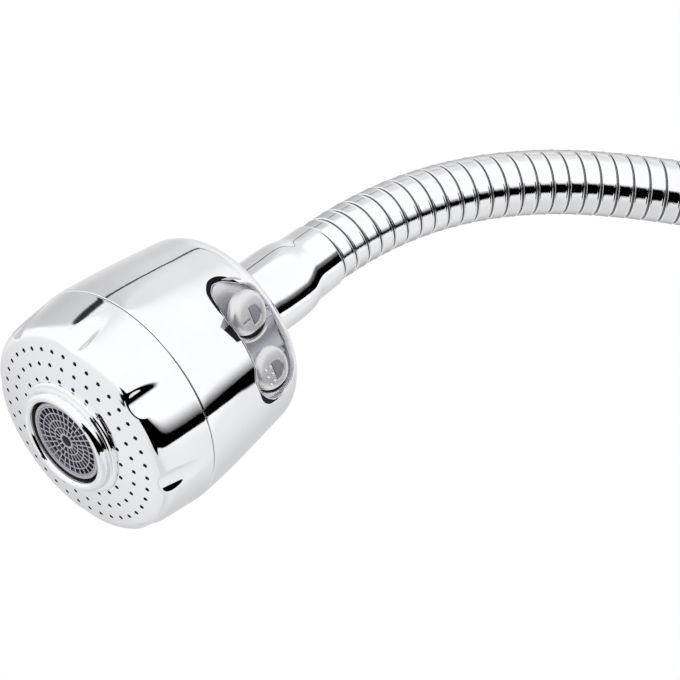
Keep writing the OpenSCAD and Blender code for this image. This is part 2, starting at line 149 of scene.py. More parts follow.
class Shell:
    """Collects vertices, normals and faces in a local frame, in mm."""

    def __init__(self):
        self.v, self.n, self.f, self.m, self.count = [], [], [], [], 0
        self.attr = []

    def add(self, v, n, f, mat=0, attr=None):
        v = np.asarray(v, float).reshape(-1, 3)
        n = np.asarray(n, float).reshape(-1, 3)
        self.v.append(v)
        self.n.append(n / np.maximum(np.linalg.norm(n, axis=1), 1e-12)[:, None])
        self.f += [tuple(i + self.count for i in face) for face in f]
        self.m += [mat] * len(f)
        self.attr.append(np.zeros(len(v)) if attr is None else np.asarray(attr, float).ravel())
        self.count += len(v)

    def grid(self, V, N, wrap=True, mat=0, flip=False, attr=None):
        """V and N are (rows, columns, 3). wrap closes the columns."""
        rows, cols = V.shape[:2]
        idx = np.arange(rows * cols).reshape(rows, cols)
        a, b = idx[:-1], idx[1:]
        if wrap:
            q = np.stack([a, np.roll(a, -1, 1), np.roll(b, -1, 1), b], -1).reshape(-1, 4)
        else:
            q = np.stack([a[:, :-1], a[:, 1:], b[:, 1:], b[:, :-1]], -1).reshape(-1, 4)
        if flip:
            q = q[:, ::-1]
        self.add(V, N, q.tolist(), mat, attr)

    def lathe(self, p, nth, mat=0, sign=1, phase=0.0):
        """Revolves the profile p (r, z). sign 1 puts the normals on the profile's left normal, see profile_normals."""
        n = profile_normals(p) * sign
        th = np.linspace(0, 2 * math.pi, nth, endpoint=False) + phase
        c, s = np.cos(th), np.sin(th)
        V = np.stack([p[:, 0:1] * c, p[:, 0:1] * s, np.repeat(p[:, 1:2], nth, 1)], -1)
        N = np.stack([n[:, 0:1] * c, n[:, 0:1] * s, np.repeat(n[:, 1:2], nth, 1)], -1)
        self.grid(V, N, True, mat, flip=sign < 0)

    def build(self, name, place, mats, body=None, replaces=()):
        rot, org = place
        v = (np.vstack(self.v) @ rot.T + org) * 0.001
        n = np.vstack(self.n) @ rot.T
        me = bpy.data.meshes.new(name)
        me.from_pydata(v.tolist(), [], self.f)
        # faces whose winding disagrees with the given normals are turned round
        fn = np.zeros(len(me.polygons) * 3)
        me.polygons.foreach_get("normal", fn)
        fn = fn.reshape(-1, 3)
        first = np.array([f[0] for f in self.f])
        bad = (fn * n[first]).sum(1) < 0
        if bad.any():
            faces = [f[::-1] if b else f for f, b in zip(self.f, bad)]
            me.clear_geometry()
            me.from_pydata(v.tolist(), [], faces)
        me.polygons.foreach_set("use_smooth", np.ones(len(me.polygons), bool))
        me.polygons.foreach_set("material_index", np.array(self.m, np.int32))
        for m in mats:
            me.materials.append(m)
        a = np.concatenate(self.attr)
        if np.any(a):
            at = me.attributes.new("along", "FLOAT", "POINT")
            at.data.foreach_set("value", a.astype(np.float32))
        me.update()
        me.normals_split_custom_set_from_vertices(n.tolist())
        ob = bpy.data.objects.new(name, me)
        bpy.context.scene.collection.objects.link(ob)
        if replaces:
            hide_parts(*replaces)
        if body:
            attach(ob, body)
        return ob


def smin(a, b, k):
    h = np.maximum(k - np.abs(a - b), 0) / k
    return np.minimum(a, b) - h * h * k / 4


# ------------------------------------------------------------------ materials
def new_mat(name):
    m = bpy.data.materials.new(name)
    m.use_nodes = True
    nt = m.node_tree
    return m, nt, nt.nodes["Principled BSDF"]


def link(nt, a, b):
    nt.links.new(a, b)


def noise(nt, scale, detail=3.0, rough=0.5, vec=None, dist=0.0):
    n = nt.nodes.new("ShaderNodeTexNoise")
    n.inputs["Scale"].default_value = scale
    n.inputs["Detail"].default_value = detail
    n.inputs["Roughness"].default_value = rough
    n.inputs["Distortion"].default_value = dist
    if vec is not None:
        link(nt, vec, n.inputs["Vector"])
    return n


def ramp(nt, src, p0, c0, p1, c1):
    r = nt.nodes.new("ShaderNodeValToRGB")
    e = r.color_ramp.elements
    e[0].position, e[1].position = p0, p1
    e[0].color = (*c0, 1) if hasattr(c0, "__len__") else (c0, c0, c0, 1)
    e[1].color = (*c1, 1) if hasattr(c1, "__len__") else (c1, c1, c1, 1)
    link(nt, src, r.inputs["Fac"])
    return r


def coords(nt, scale=None):
    t = nt.nodes.new("ShaderNodeTexCoord")
    if scale is None:
        return t.outputs["Object"]
    m = nt.nodes.new("ShaderNodeMapping")
    m.inputs["Scale"].default_value = scale
    link(nt, t.outputs["Object"], m.inputs["Vector"])
    return m.outputs["Vector"]


def chrome(name, base=(0.93, 0.935, 0.95), dark=(0.88, 0.885, 0.905), rough=(0.025, 0.055), bump=0.03, lines=False, edge=0.92):
    m, nt, b = new_mat(name)
    b.inputs["Specular Tint"].default_value = (edge, edge, edge * 1.01, 1)
    co = coords(nt)
    b.inputs["Metallic"].default_value = 1.0
    tone = noise(nt, 55, 4, 0.6, co)
    link(nt, ramp(nt, tone.outputs["Fac"], 0.3, dark, 0.7, base).outputs["Color"], b.inputs["Base Color"])
    # faint smudges and dried drops in the gloss
    smudge = noise(nt, 95, 5, 0.62, co, 0.4)
    rr = ramp(nt, smudge.outputs["Fac"], 0.35, rough[0], 0.75, rough[1])
    link(nt, rr.outputs["Color"], b.inputs["Roughness"])
    # plated metal is never quite flat: a slow swell, and fine polishing marks
    swell = noise(nt, 320, 2, 0.5, co)
    marks = noise(nt, 5200, 2, 0.5, coords(nt, (1.0, 0.12, 1.0)))
    add = nt.nodes.new("ShaderNodeMath"); add.operation = "MULTIPLY_ADD"
    link(nt, marks.outputs["Fac"], add.inputs[0]); add.inputs[1].default_value = 0.25
    link(nt, swell.outputs["Fac"], add.inputs[2])
    src = add.outputs["Value"]
    if lines:
        # drawing lines that run round each band
        at = nt.nodes.new("ShaderNodeAttribute"); at.attribute_name = "along"
        comb = nt.nodes.new("ShaderNodeCombineXYZ")
        link(nt, at.outputs["Fac"], comb.inputs["X"])
        ln = noise(nt, 6.5, 4, 0.7, comb.outputs["Vector"])
        add2 = nt.nodes.new("ShaderNodeMath"); add2.operation = "MULTIPLY_ADD"
        link(nt, ln.outputs["Fac"], add2.inputs[0]); add2.inputs[1].default_value = 3.0
        link(nt, src, add2.inputs[2])
        src = add2.outputs["Value"]
    bp = nt.nodes.new("ShaderNodeBump")
    bp.inputs["Strength"].default_value = bump
    bp.inputs["Distance"].default_value = 0.0002
    link(nt, src, bp.inputs["Height"])
    link(nt, bp.outputs["Normal"], b.inputs["Normal"])
    return m


def grained(name, c0, c1, rough=(0.3, 0.5), metal=0.0, scale=900, bump=0.15, stretch=(1, 1, 1), spec=0.5, dist=0.0001):
    m, nt, b = new_mat(name)
    co = coords(nt, stretch)
    b.inputs["Metallic"].default_value = metal
    b.inputs["Specular IOR Level"].default_value = spec
    n1 = noise(nt, scale * 0.08, 4, 0.6, co)
    link(nt, ramp(nt, n1.outputs["Fac"], 0.3, c0, 0.7, c1).outputs["Color"], b.inputs["Base Color"])
    n2 = noise(nt, scale * 0.2, 4, 0.6, co)
    link(nt, ramp(nt, n2.outputs["Fac"], 0.3, rough[0], 0.7, rough[1]).outputs["Color"], b.inputs["Roughness"])
    n3 = noise(nt, scale, 3, 0.6, co)
    bp = nt.nodes.new("ShaderNodeBump")
    bp.inputs["Strength"].default_value = bump
    bp.inputs["Distance"].default_value = dist
    link(nt, n3.outputs["Fac"], bp.inputs["Height"])
    link(nt, bp.outputs["Normal"], b.inputs["Normal"])
    return m


M_CHROME = chrome("chrome_shell")
M_STRIP = chrome("chrome_strip", rough=(0.035, 0.08), bump=0.035, lines=True, edge=0.58)
M_NUT = chrome("chrome_nut", rough=(0.05, 0.10), bump=0.05)
M_SATIN = grained("satin_chrome", (0.74, 0.74, 0.76), (0.79, 0.79, 0.81), rough=(0.27, 0.31), metal=0.7, scale=2600, bump=0.02)
# painted shade: a darker copy of the pad satin for the floors of the engraved marks and the saddle's trough
M_SATIN_SHADED = grained("satin_painted_shade", (0.42, 0.42, 0.47), (0.48, 0.48, 0.53), rough=(0.26, 0.31), metal=0.8, scale=2600, bump=0.02)
# painted shade: near-black that stands in for shadow and dark reflection on the pocket's bevel, the pads' shoulders and
# one mark's corner
M_SHADE_BLACK = grained("black_painted_shade", (0.006, 0.006, 0.008), (0.014, 0.014, 0.017), rough=(0.30, 0.45), scale=2400, bump=0.04, spec=0.02)
# painted dark reflection: a darker, lilac-tinted copy of the chrome for the facet beside the far pad
M_FACET_DARK_REFLECTION = grained("facet_painted_dark_reflection", (0.36, 0.36, 0.41), (0.43, 0.43, 0.48), rough=(0.22, 0.32), metal=0.9, scale=2400, bump=0.04)
# painted shade: a darker copy of the grid's lilac plastic for the side walls down its cells
M_CELL_SHADE = grained("aerator_cell_painted_shade", (0.085, 0.080, 0.105), (0.12, 0.115, 0.14), rough=(0.4, 0.6), scale=1600, bump=0.06)
M_RING = grained("aerator_ring", (0.42, 0.42, 0.45), (0.50, 0.50, 0.53), rough=(0.28, 0.42), scale=1600, bump=0.08)
M_RECESS = grained("satin_floor", (0.88, 0.88, 0.92), (0.93, 0.93, 0.97), rough=(0.30, 0.42), metal=0.45, scale=2400, bump=0.05)
# painted shade: near-black for the bores of the spray holes and for the back of the aerator grid
M_BORE_SHADE = grained("spray_bore_painted_shade", (0.03, 0.03, 0.035), (0.06, 0.06, 0.07), rough=(0.35, 0.6), metal=0.3, scale=2200)
# painted shade: a darker copy of the strip's metal for the groove between the bands
M_GAP_SHADE = grained("strip_gap_painted_shade", (0.22, 0.22, 0.23), (0.30, 0.30, 0.31), rough=(0.25, 0.45), metal=1.0, scale=2200)
M_LILAC = grained("aerator_plastic", (0.40, 0.39, 0.46), (0.47, 0.46, 0.54), rough=(0.32, 0.48), scale=1600, bump=0.10)
M_WHITE = grained("core_plastic", (0.70, 0.70, 0.67), (0.78, 0.78, 0.75), rough=(0.32, 0.5), scale=1400, bump=0.10)
M_RUBBER = grained("rubber", (0.018, 0.018, 0.020), (0.035, 0.034, 0.036), rough=(0.55, 0.8), scale=1500, bump=0.25)
M_BRASS = grained("brass", (0.62, 0.47, 0.20), (0.74, 0.58, 0.28), rough=(0.22, 0.42), metal=1.0, scale=1500, bump=0.10, stretch=(4, 0.5, 0.5))
M_STEEL = grained("steel", (0.48, 0.48, 0.50), (0.60, 0.60, 0.62), rough=(0.26, 0.42), metal=1.0, scale=1800, bump=0.10, stretch=(3, 0.4, 0.4))

SLOT_MAT = {"chrome_shell": M_CHROME, "chrome_strip": M_STRIP, "brass": M_BRASS, "steel": M_STEEL,
            "rubber": M_RUBBER, "aerator_plastic": M_LILAC, "core_plastic": M_WHITE}
SLOT_OF = {s["node"]: s["material_slot"] for s in frame["record"]["subparts"]}
for name, ob in NODES.items():
    ob.data.materials.clear()
    ob.data.materials.append(SLOT_MAT[SLOT_OF[name]])

# ------------------------------------------------------------------ front housing
NTH = 960
FRONT = [(12.9, -1.34), (14.6, -1.15), (17, -0.85), (19.5, -0.48), (22.2, 0), (23.6, 0.28), (24.5, 0.50), (25.2, 0.78), (25.85, 1.15), (26.35, 1.72),
         (26.72, 2.6), (26.98, 3.8), (27.16, 5.2), (27.42, 8.0), (27.68, 11.2), (27.9, 13.8), (28.02, 15.1), (28.0, 15.38), (27.9, 15.5), (27.6, 15.52), (27.2, 15.52)]
fp = bspline(FRONT, 4000)
i24 = int(np.argmin(np.abs(fp[:2000, 0] - 24.0)))
face_r, face_w = fp[: i24 + 1, 0], fp[: i24 + 1, 1]


def face_height(r):
    return np.interp(r, face_r, face_w)


def face_slope(r):
    return (face_height(r + 0.05) - face_height(r - 0.05)) / 0.1


R_OUT = float(face_r[-1])
HOLES = [(38, 22.2, 3.44), (30, 18.67, 7.36), (22, 15.12, 13.4)]
holes = [(r * math.cos(math.radians(ph + i * 360 / n)), r * math.sin(math.radians(ph + i * 360 / n)))
         for n, r, ph in HOLES for i in range(n)]
HR = 0.60
pts, edges = [], []
ang = np.linspace(0, 2 * math.pi, NTH, endpoint=False)
ring0 = [(R_OUT * math.cos(a), R_OUT * math.sin(a)) for a in ang]
pts += ring0
edges += [(i, (i + 1) % NTH) for i in range(NTH)]
hc = np.array(holes)
r, k = 12.95, 0
while r < R_OUT - 0.3:
    n = max(96, int(2 * math.pi * r / 0.7))
    for i in range(n):
        a = 2 * math.pi * (i + 0.5 * (k % 2)) / n
        p = (r * math.cos(a), r * math.sin(a))
        if np.min(np.hypot(hc[:, 0] - p[0], hc[:, 1] - p[1])) > HR + 0.16:
            pts.append(p)
    r += 0.62
    k += 1
HN = 18
hole_first = len(pts)
for hx, hy in holes:
    b = len(pts)
    pts += [(hx + HR * math.cos(2 * math.pi * i / HN), hy + HR * math.sin(2 * math.pi * i / HN)) for i in range(HN)]
    edges += [(b + i, b + (i + 1) % HN) for i in range(HN)]
vo, _, fo, _, _, _ = delaunay_2d_cdt([Vector(p) for p in pts], edges, [], 0, 1e-6)
vo = np.array([list(p) for p in vo])
tri = np.array([f for f in fo if len(f) == 3])
cen = vo[tri].mean(1)
rc = np.hypot(cen[:, 0], cen[:, 1])
dh = np.min(np.hypot(cen[:, None, 0] - hc[None, :, 0], cen[:, None, 1] - hc[None, :, 1]), 1)
tri = tri[(rc > 12.93) & (dh > HR * 0.97)]
rr = np.hypot(vo[:, 0], vo[:, 1])
V = np.stack([vo[:, 0], vo[:, 1], face_height(rr)], 1)
g = face_slope(rr)
N = np.stack([g * vo[:, 0] / rr, g * vo[:, 1] / rr, -np.ones(len(rr))], 1)
front = Shell()
front.add(V, N, tri.tolist())
# spray holes: a small rolled rim and a bore in near-black, painted shade down the hole
for hx, hy in holes:
    th = np.linspace(0, 2 * math.pi, HN, endpoint=False)
    rows, nrm = [], []
    for rad, dep, tilt in ((HR, 0.0, 0.0), (0.565, 0.012, 0.45), (0.53, 0.045, 0.8), (0.50, 0.11, 1.0)):
        x, y = hx + rad * np.cos(th), hy + rad * np.sin(th)
        q = np.hypot(x, y)
        rows.append(np.stack([x, y, face_height(q) + dep], 1))
        sl = face_slope(q)
        n0 = np.stack([sl * x / q, sl * y / q, -np.ones(HN)], 1)
        n1 = np.stack([-np.cos(th), -np.sin(th), 0 * th], 1)
        nrm.append(n0 * (1 - tilt) + n1 * tilt)
    front.grid(np.array(rows), np.array(nrm))
    w0 = rows[-1]
    deep = w0.copy(); deep[:, 2] += 1.5
    n1 = np.stack([-np.cos(th), -np.sin(th), 0 * th], 1)
    front.grid(np.array([w0, deep]), np.array([n1, n1]), mat=1)
# rim and side wall, with the scallops
side = resample(fp[i24:], lambda s: 0.09 if s < 3.6 else (0.34 if s < 14.6 else 0.08))
th = ang
C, S = np.cos(th), np.sin(th)


def scallop_radius(th, w):
    """Radius at which the nearest scallop's cutter is met."""
    c = math.cos(math.radians(14))
    x0 = 29.9 + (w + 1) * math.tan(math.radians(14))
    step = math.pi / 4
    ph = (th + math.radians(12.7) + step / 2) % step - step / 2
    A = c * c * np.cos(ph) ** 2 + np.sin(ph) ** 2
    B = x0 * c * c * np.cos(ph)
    D = B * B - A * (x0 * x0 * c * c - 5.2 ** 2)
    return np.where(D > 0, (B - np.sqrt(np.maximum(D, 0))) / A, 99.0)


TH, RS = np.meshgrid(th, side[:, 0])
WS = np.repeat(side[:, 1:2], NTH, 1)
RR = smin(RS, scallop_radius(TH, WS), 0.5)
V = np.stack([RR * np.cos(TH), RR * np.sin(TH), WS], -1)
du = np.gradient(V, axis=0)
dv = (np.roll(V, -1, 1) - np.roll(V, 1, 1))
N = np.cross(dv, du)
N /= np.maximum(np.linalg.norm(N, axis=-1), 1e-12)[..., None]
g0 = float(face_slope(R_OUT))
N[0] = np.stack([g0 * C, g0 * S, -np.ones(NTH)], -1)
if (N[len(side) // 2] * V[len(side) // 2] * [1, 1, 0]).sum() < 0:
    N = -N
    N[0] = np.stack([g0 * C, g0 * S, -np.ones(NTH)], -1)
front.grid(V, N)
front.build("front_housing_skin", HEAD, [M_CHROME, M_BORE_SHADE], "head", ["front_housing"])

# ------------------------------------------------------------------ rear housing
REAR = [(27.2, 15.66), (27.6, 15.66), (27.88, 15.68), (27.99, 15.80), (27.99, 16.1), (27.965, 17.0), (27.85, 18.8), (27.62, 21.6), (27.30, 24.7), (26.93, 28), (26.52, 31.2), (26.09, 34.4), (25.65, 37.4),
        (25.18, 40.7), (24.72, 43.9), (24.48, 45.3), (23.95, 46.6), (23.1, 47.9), (22.2, 48.6), (21.2, 49), (19, 49.3), (15, 49.38), (11.5, 49.4), (9.0, 49.4), (7.0, 49.4)]
rp = resample(bspline(REAR, 6000), lambda s: 0.06 if s < 1.0 else (0.45 if s < 29 else (0.2 if s < 37 else 0.6)))
rn = profile_normals(rp)
if rn[len(rn) // 2, 0] < 0:
    rn = -rn
rs = np.concatenate([[0], np.cumsum(np.linalg.norm(np.diff(rp, axis=0), axis=1))])
wall_end = int(np.argmax(rp[:, 1] > 48.45))
i1, i2 = int(np.argmax(rp[:, 1] > 30.6)), wall_end
half_cols = 140      # columns each side of the rocker that the patch replaces


def rear_at(s):
    return np.interp(s, rs, rp[:, 0]), np.interp(s, rs, rp[:, 1]), np.stack([np.interp(s, rs, rn[:, 0]), np.interp(s, rs, rn[:, 1])], -1)


def rear_s_of_w(w):
    return np.interp(w, rp[: wall_end + 1, 1], rs[: wall_end + 1])


rear = Shell()
Vr = np.stack([rp[:, 0:1] * C, rp[:, 0:1] * S, np.repeat(rp[:, 1:2], NTH, 1)], -1)
Nr = np.stack([rn[:, 0:1] * C, rn[:, 0:1] * S, np.repeat(rn[:, 1:2], NTH, 1)], -1)
rear.grid(Vr[: i1 + 1], Nr[: i1 + 1])
rear.grid(Vr[i2:], Nr[i2:])
rear.grid(Vr[i1: i2 + 1, half_cols: NTH - half_cols + 1], Nr[i1: i2 + 1, half_cols: NTH - half_cols + 1], wrap=False)
# the patch round the pocket
PK_C, PK_Y0, PK_Y1, PK_H, FLOOR = 39.7, -16.0, 14.4, 6.8, 19.1
FIL = 0.28


def obround(n_arc, n_line, grow=0.0):
    """Outline in (y, w) and its outward normals, anticlockwise from the right end's lower corner."""
    h = PK_H + grow
    ya, yb = PK_Y0 + PK_H, PK_Y1 - PK_H
    out, nor = [], []
    for i in range(n_arc):
        a = -math.pi / 2 + math.pi * i / n_arc
        out.append((yb + h * math.cos(a), PK_C + h * math.sin(a))); nor.append((math.cos(a), math.sin(a)))
    for i in range(n_line):
        out.append((yb + (ya - yb) * i / n_line, PK_C + h)); nor.append((0, 1))
    for i in range(n_arc):
        a = math.pi / 2 + math.pi * i / n_arc
        out.append((ya + h * math.cos(a), PK_C + h * math.sin(a))); nor.append((math.cos(a), math.sin(a)))
    for i in range(n_line):
        out.append((ya + (yb - ya) * i / n_line, PK_C - h)); nor.append((0, -1))
    return np.array(out), np.array(nor)


def rear_surface(y, w):
    """The housing's outer point and normal over (y, w), on the rocker's side."""
    s = rear_s_of_w(w)
    R, W, n = rear_at(s)
    x = np.sqrt(np.maximum(R * R - y * y, 0.01))
    P = np.stack([x, y, w], -1)
    Nn = np.stack([n[..., 0] * x / R, n[..., 0] * y / R, n[..., 1]], -1)
    return P, Nn, s, np.arctan2(y, x)


# the pocket's edge: a bevel at the far end, a small one at the near end, a facet beside the far pad. Away from the soft
# side the bevel is painted near-black (painted shade and dark reflection), and the facet takes a darker metal (painted
# dark reflection)
base, bn = obround(88, 120, 0.0)


def ease(x):
    x = np.clip(x, 0, 1)
    return x * x * (3 - 2 * x)


def lead_of(direction, start, span):
    return ease((bn @ np.array(direction) - start) / span)


by = base[:, 0]
PLUS = lead_of((0.2, 0.98), 0.25, 0.5)               # the soft side, towards the neck
# offsets of the rim's inner edge and of the bevel's outer edge from the pocket's wall: round the far
# end (angle in degrees), round the near end, and along the side away from the neck
FAR = np.array([(90, -0.3, -0.3), (110, -0.6, -0.6), (125, -1.15, -1.1), (140, -1.6, -1.5), (160, -1.3, -0.15), (180, -0.4, 1.0), (200, 0.55, 1.75),
                (220, 0.5, 1.75), (240, -0.6, 0.5), (260, -0.62, -0.4), (271, -0.7, -0.52)])
NEAR = np.array([(-91, 0.05, 0.22), (-75, -0.1, 0.1), (-60, -0.35, 0.65), (-50, -0.45, 0.9), (-30, -0.3, 0.87), (-10, 0.15, 0.3), (10, -0.05, 0.0), (40, -0.25, -0.2), (91, -0.3, -0.28)])
ang_far = np.degrees(np.arctan2(bn[:, 1], bn[:, 0])) % 360
ang_near = (ang_far + 180) % 360 - 180
along = -0.7 * ease((7 - by) / 4) - 0.5 * ease((by + 9.2) / 4) * ease((7 - by) / 4) + 0.05
is_far = (by < -9.19) | ((bn[:, 0] < -0.01))
is_near = (by > 7.59) | ((bn[:, 0] > 0.01))
lower = (bn[:, 1] < 0)
OFF = np.where(is_far, np.interp(ang_far, FAR[:, 0], FAR[:, 1]), np.where(is_near, np.interp(ang_near, NEAR[:, 0], NEAR[:, 1]), np.where(lower, along, -0.3)))
OUT = np.where(is_far, np.interp(ang_far, FAR[:, 0], FAR[:, 2]), np.where(is_near, np.interp(ang_near, NEAR[:, 0], NEAR[:, 2]), np.where(lower, along + 0.3, -0.28)))
kern = np.array([1, 3, 5, 6, 5, 3, 1]) / 24.0
OFF, OUT = (sum(w * np.roll(q, i - 3) for i, w in enumerate(kern)) for q in (OFF, OUT))
FACET = np.where((bn[:, 1] < -0.9) & (by < 0), np.interp(by, [-10.9, -8.8, -3.8, -3.5], [-3, 2.0, 0.4, -3]), -3.0)
BEV = np.maximum(np.maximum(OUT - OFF, 0.01), FACET - OFF)
PLUS = PLUS * np.where(is_far, ease((132 - ang_far) / 22), 1.0)
for _ in range(2):
    PLUS = sum(w * np.roll(PLUS, i - 3) for i, w in enumerate(kern))
FILW = 0.24 + 0.75 * PLUS
AEND = 0.55 + 0.75 * PLUS
outl, onor = base + bn * (OFF + BEV + FILW)[:, None], bn
_, _, so, tho = rear_surface(outl[:, 0], outl[:, 1])
SC = 25.0
poly = np.stack([tho * SC, so], 1)
cols = np.arange(-half_cols, half_cols + 1)
cth = cols * 2 * math.pi / NTH
pts = [tuple(p) for p in poly]
edges = [(i, (i + 1) % len(poly)) for i in range(len(poly))]
# straight-line boundary of the patch
bound = [(t * SC, rs[i1]) for t in cth] + [(cth[-1] * SC, rs[i]) for i in range(i1 + 1, i2)] \
    + [(t * SC, rs[i2]) for t in cth[::-1]] + [(cth[0] * SC, rs[i]) for i in range(i2 - 1, i1, -1)]
b0 = len(pts)
pts += bound
edges += [(b0 + i, b0 + (i + 1) % len(bound)) for i in range(len(bound))]


def inside(p, q):
    """Points p inside the closed polygon q."""
    x, y = p[:, 0], p[:, 1]
    res = np.zeros(len(p), bool)
    for (x1, y1), (x2, y2) in zip(q, np.roll(q, -1, 0)):
        if y1 == y2:
            continue
        c = ((y1 > y) != (y2 > y)) & (x < (x2 - x1) * (y - y1) / (y2 - y1) + x1)
        res ^= c
    return res


grow = base + bn * (OFF + BEV + FILW + 0.3)[:, None]
_, _, sg, tg = rear_surface(grow[:, 0], grow[:, 1])
gpoly = np.stack([tg * SC, sg], 1)
cand = np.array([(t * SC, rs[i]) for i in range(i1 + 1, i2) for t in cth[3:-3:3]])
cand = cand[~inside(cand, gpoly)]
pts += [tuple(p) for p in cand]
vo, _, fo, _, _, _ = delaunay_2d_cdt([Vector(p) for p in pts], edges, [], 0, 1e-6)
vo = np.array([list(p) for p in vo])
tri = np.array([f for f in fo if len(f) == 3])
tri = tri[~inside(vo[tri].mean(1), poly)]
thv = vo[:, 0] / SC
R, W, n = rear_at(vo[:, 1])
V = np.stack([R * np.cos(thv), R * np.sin(thv), W], 1)
N = np.stack([n[:, 0] * np.cos(thv), n[:, 0] * np.sin(thv), n[:, 1]], 1)
rear.add(V, N, tri.tolist())
# rounded edge, bevel, walls and floor of the pocket
def rim_grid(rows, nrm, mat_of):
    """A closed grid whose material depends on the column."""
    first = len(rear.m)
    rear.grid(np.array(rows), np.array(nrm))
    for i in range(first, len(rear.m)):
        rear.m[i] = int(mat_of[(i - first) % len(base)])


wn = np.stack([0 * bn[:, 0], -bn[:, 0], -bn[:, 1]], 1)
soft = PLUS > 0.3
rows, nrm = [], []
for k in range(9):
    a = AEND * k / 8
    o = base + bn * (OFF + BEV + FILW * (1 - np.sin(a) / np.sin(AEND)))[:, None]
    P, Ns, _, _ = rear_surface(o[:, 0], o[:, 1])
    P = P.copy(); P[:, 0] -= FILW / np.sin(AEND) * (1 - np.cos(a))
    rows.append(P)
    nrm.append(Ns * np.cos(a)[:, None] + wn * np.sin(a)[:, None])
rim_grid(rows, nrm, np.where(soft, 1, 0))
drop = FILW / np.sin(AEND) * (1 - np.cos(AEND))
edge = base + bn * OFF[:, None]
Ns0 = rear_surface(edge[:, 0], edge[:, 1])[1]
rows2, nrm2 = [], []
for f in np.linspace(0, 1, 9):
    o = base + bn * (OFF + BEV * (1 - f))[:, None]
    P, Ns, _, _ = rear_surface(o[:, 0], o[:, 1])
    P = P.copy(); P[:, 0] -= drop + 0.5 * np.tanh(0.68 * BEV) * f
    tilt = (0.28 + 0.35 * f) * (1 - PLUS) + AEND * PLUS
    rows2.append(P); nrm2.append(Ns * np.cos(tilt)[:, None] + wn * np.sin(tilt)[:, None])
# the bevel's faces: as the rim on the soft side, the darker metal on the facet (painted dark reflection), near-black
# elsewhere (painted shade and dark reflection)
rim_grid(rows2, nrm2, np.where(soft, 1, np.where((FACET > -2) & (by < -7.9), 3, 2)))
# a thin bright edge where the bevel meets the wall
rows, nrm = [rows2[-1]], [nrm2[-1]]
for a in np.linspace(0, math.pi / 2, 6)[1:]:
    P = rows[0].copy()
    P[:, 1:] -= bn * (0.20 * math.sin(a))
    P[:, 0] += 0.05 * math.sin(2 * a) - 0.14 * (1 - math.cos(a))
    rows.append(P)
    nrm.append(Ns0 * math.cos(a) + wn * math.sin(a))
rim_grid(rows, nrm, np.where(soft, 1, 0))
top = rows[-1]
foot = base - bn * 0.2
deep = np.maximum(top[:, 0] - FLOOR, 0.05)
rf = np.minimum(0.5, deep * 0.6)
rows, nrm = [top], [wn]
for f, g in ((0.2, 0.8), (0.4, 1.0), (0.7, 1.0), (1.0, 1.0)):
    P = top.copy(); P[:, 0] = top[:, 0] - (deep - rf) * f
    P[:, 1:] = top[:, 1:] * (1 - g) + foot * g
    rows.append(P); nrm.append(wn)
for a in np.linspace(0, math.pi / 2, 6)[1:]:
    P = np.stack([FLOOR + rf * (1 - math.sin(a)), foot[:, 0] - bn[:, 0] * rf * (1 - math.cos(a)), foot[:, 1] - bn[:, 1] * rf * (1 - math.cos(a))], 1)
    rows.append(P)
    nrm.append(wn * math.cos(a) + np.array([1.0, 0, 0]) * math.sin(a))
rear.grid(np.array(rows), np.array(nrm), mat=1)
last = rows[-1]
mid_y = np.clip(last[:, 1], PK_Y0 + PK_H, PK_Y1 - PK_H)
mid = np.stack([np.full(len(last), FLOOR), mid_y, np.full(len(last), PK_C)], 1)
half = (last + mid) / 2
up = np.tile([1.0, 0, 0], (len(last), 1))
rear.grid(np.array([last, half, mid]), np.array([up, up, up]), mat=1)
rear.build("rear_housing_skin", HEAD, [M_CHROME, M_RECESS, M_SHADE_BLACK, M_FACET_DARK_REFLECTION], "head", ["rear_housing"])

# ------------------------------------------------------------------ aerator collar
collar = Shell()
COL = [(10.6, 5.8), (10.6, 3), (10.6, -1), (10.6, -3.3), (10.62, -3.75), (10.75, -4.2), (11.15, -4.56), (11.75, -4.68), (12.3, -4.5), (12.75, -4.0), (12.96, -3.4),
       (13.0, -2.9), (13.0, -2.5), (13.05, -2.28), (13.2, -2.2), (13.6, -2.18), (13.95, -2.12), (14.3, -1.95), (14.46, -1.6), (14.46, -1.15), (14.4, -0.9)]
cp = resample(bspline(COL, 2500), lambda s: 0.4 if s < 8.3 else 0.07)
cut = int(np.argmax(cp[:, 1] < -3.45))
collar.lathe(cp[cut:], 360)
collar.lathe(cp[: cut + 1], 360, mat=1)
collar.build("aerator_collar_skin", HEAD, [M_CHROME, M_RUBBER], "head", ["aerator_collar"])

# ------------------------------------------------------------------ aerator cartridge
aer = Shell()
BODY = [(8.4, 0), (8.4, -1.6), (8.45, -1.85), (8.7, -1.92), (9.05, -1.92), (9.15, -2.1), (9.15, -3.1), (9.2, -3.3), (9.35, -3.38), (9.7, -3.38), (9.92, -3.3), (10, -3.1), (10, -2.6), (10, 1), (10.3, 1)]
aer.lathe(resample(bspline(BODY, 1200), 0.09), 192)
aer.build("aerator_body_rim", HEAD, [M_RING], "head", ["aerator_body"])
grid = Shell()


def small_ring(sh, r_in, r_out, w0, w1, e=0.07, nth=160, mat=0, wall=0):
    """A ring whose front edges (at w0) are rounded."""
    p = [(r_in, w1), (r_in, w0 + e)]
    p += [(r_in + e - e * math.cos(a), w0 + e - e * math.sin(a)) for a in np.linspace(0.4, math.pi / 2, 4)]
    p += [(r_out - e + e * math.sin(a), w0 + e - e * math.cos(a)) for a in np.linspace(0, math.pi / 2 - 0.4, 4)]
    p += [(r_out, w0 + e), (r_out, w1)]
    p = np.array(p)
    sh.lathe(p[1:-1], nth, mat)
    sh.lathe(p[:2], nth, wall)
    sh.lathe(p[-2:], nth, wall)


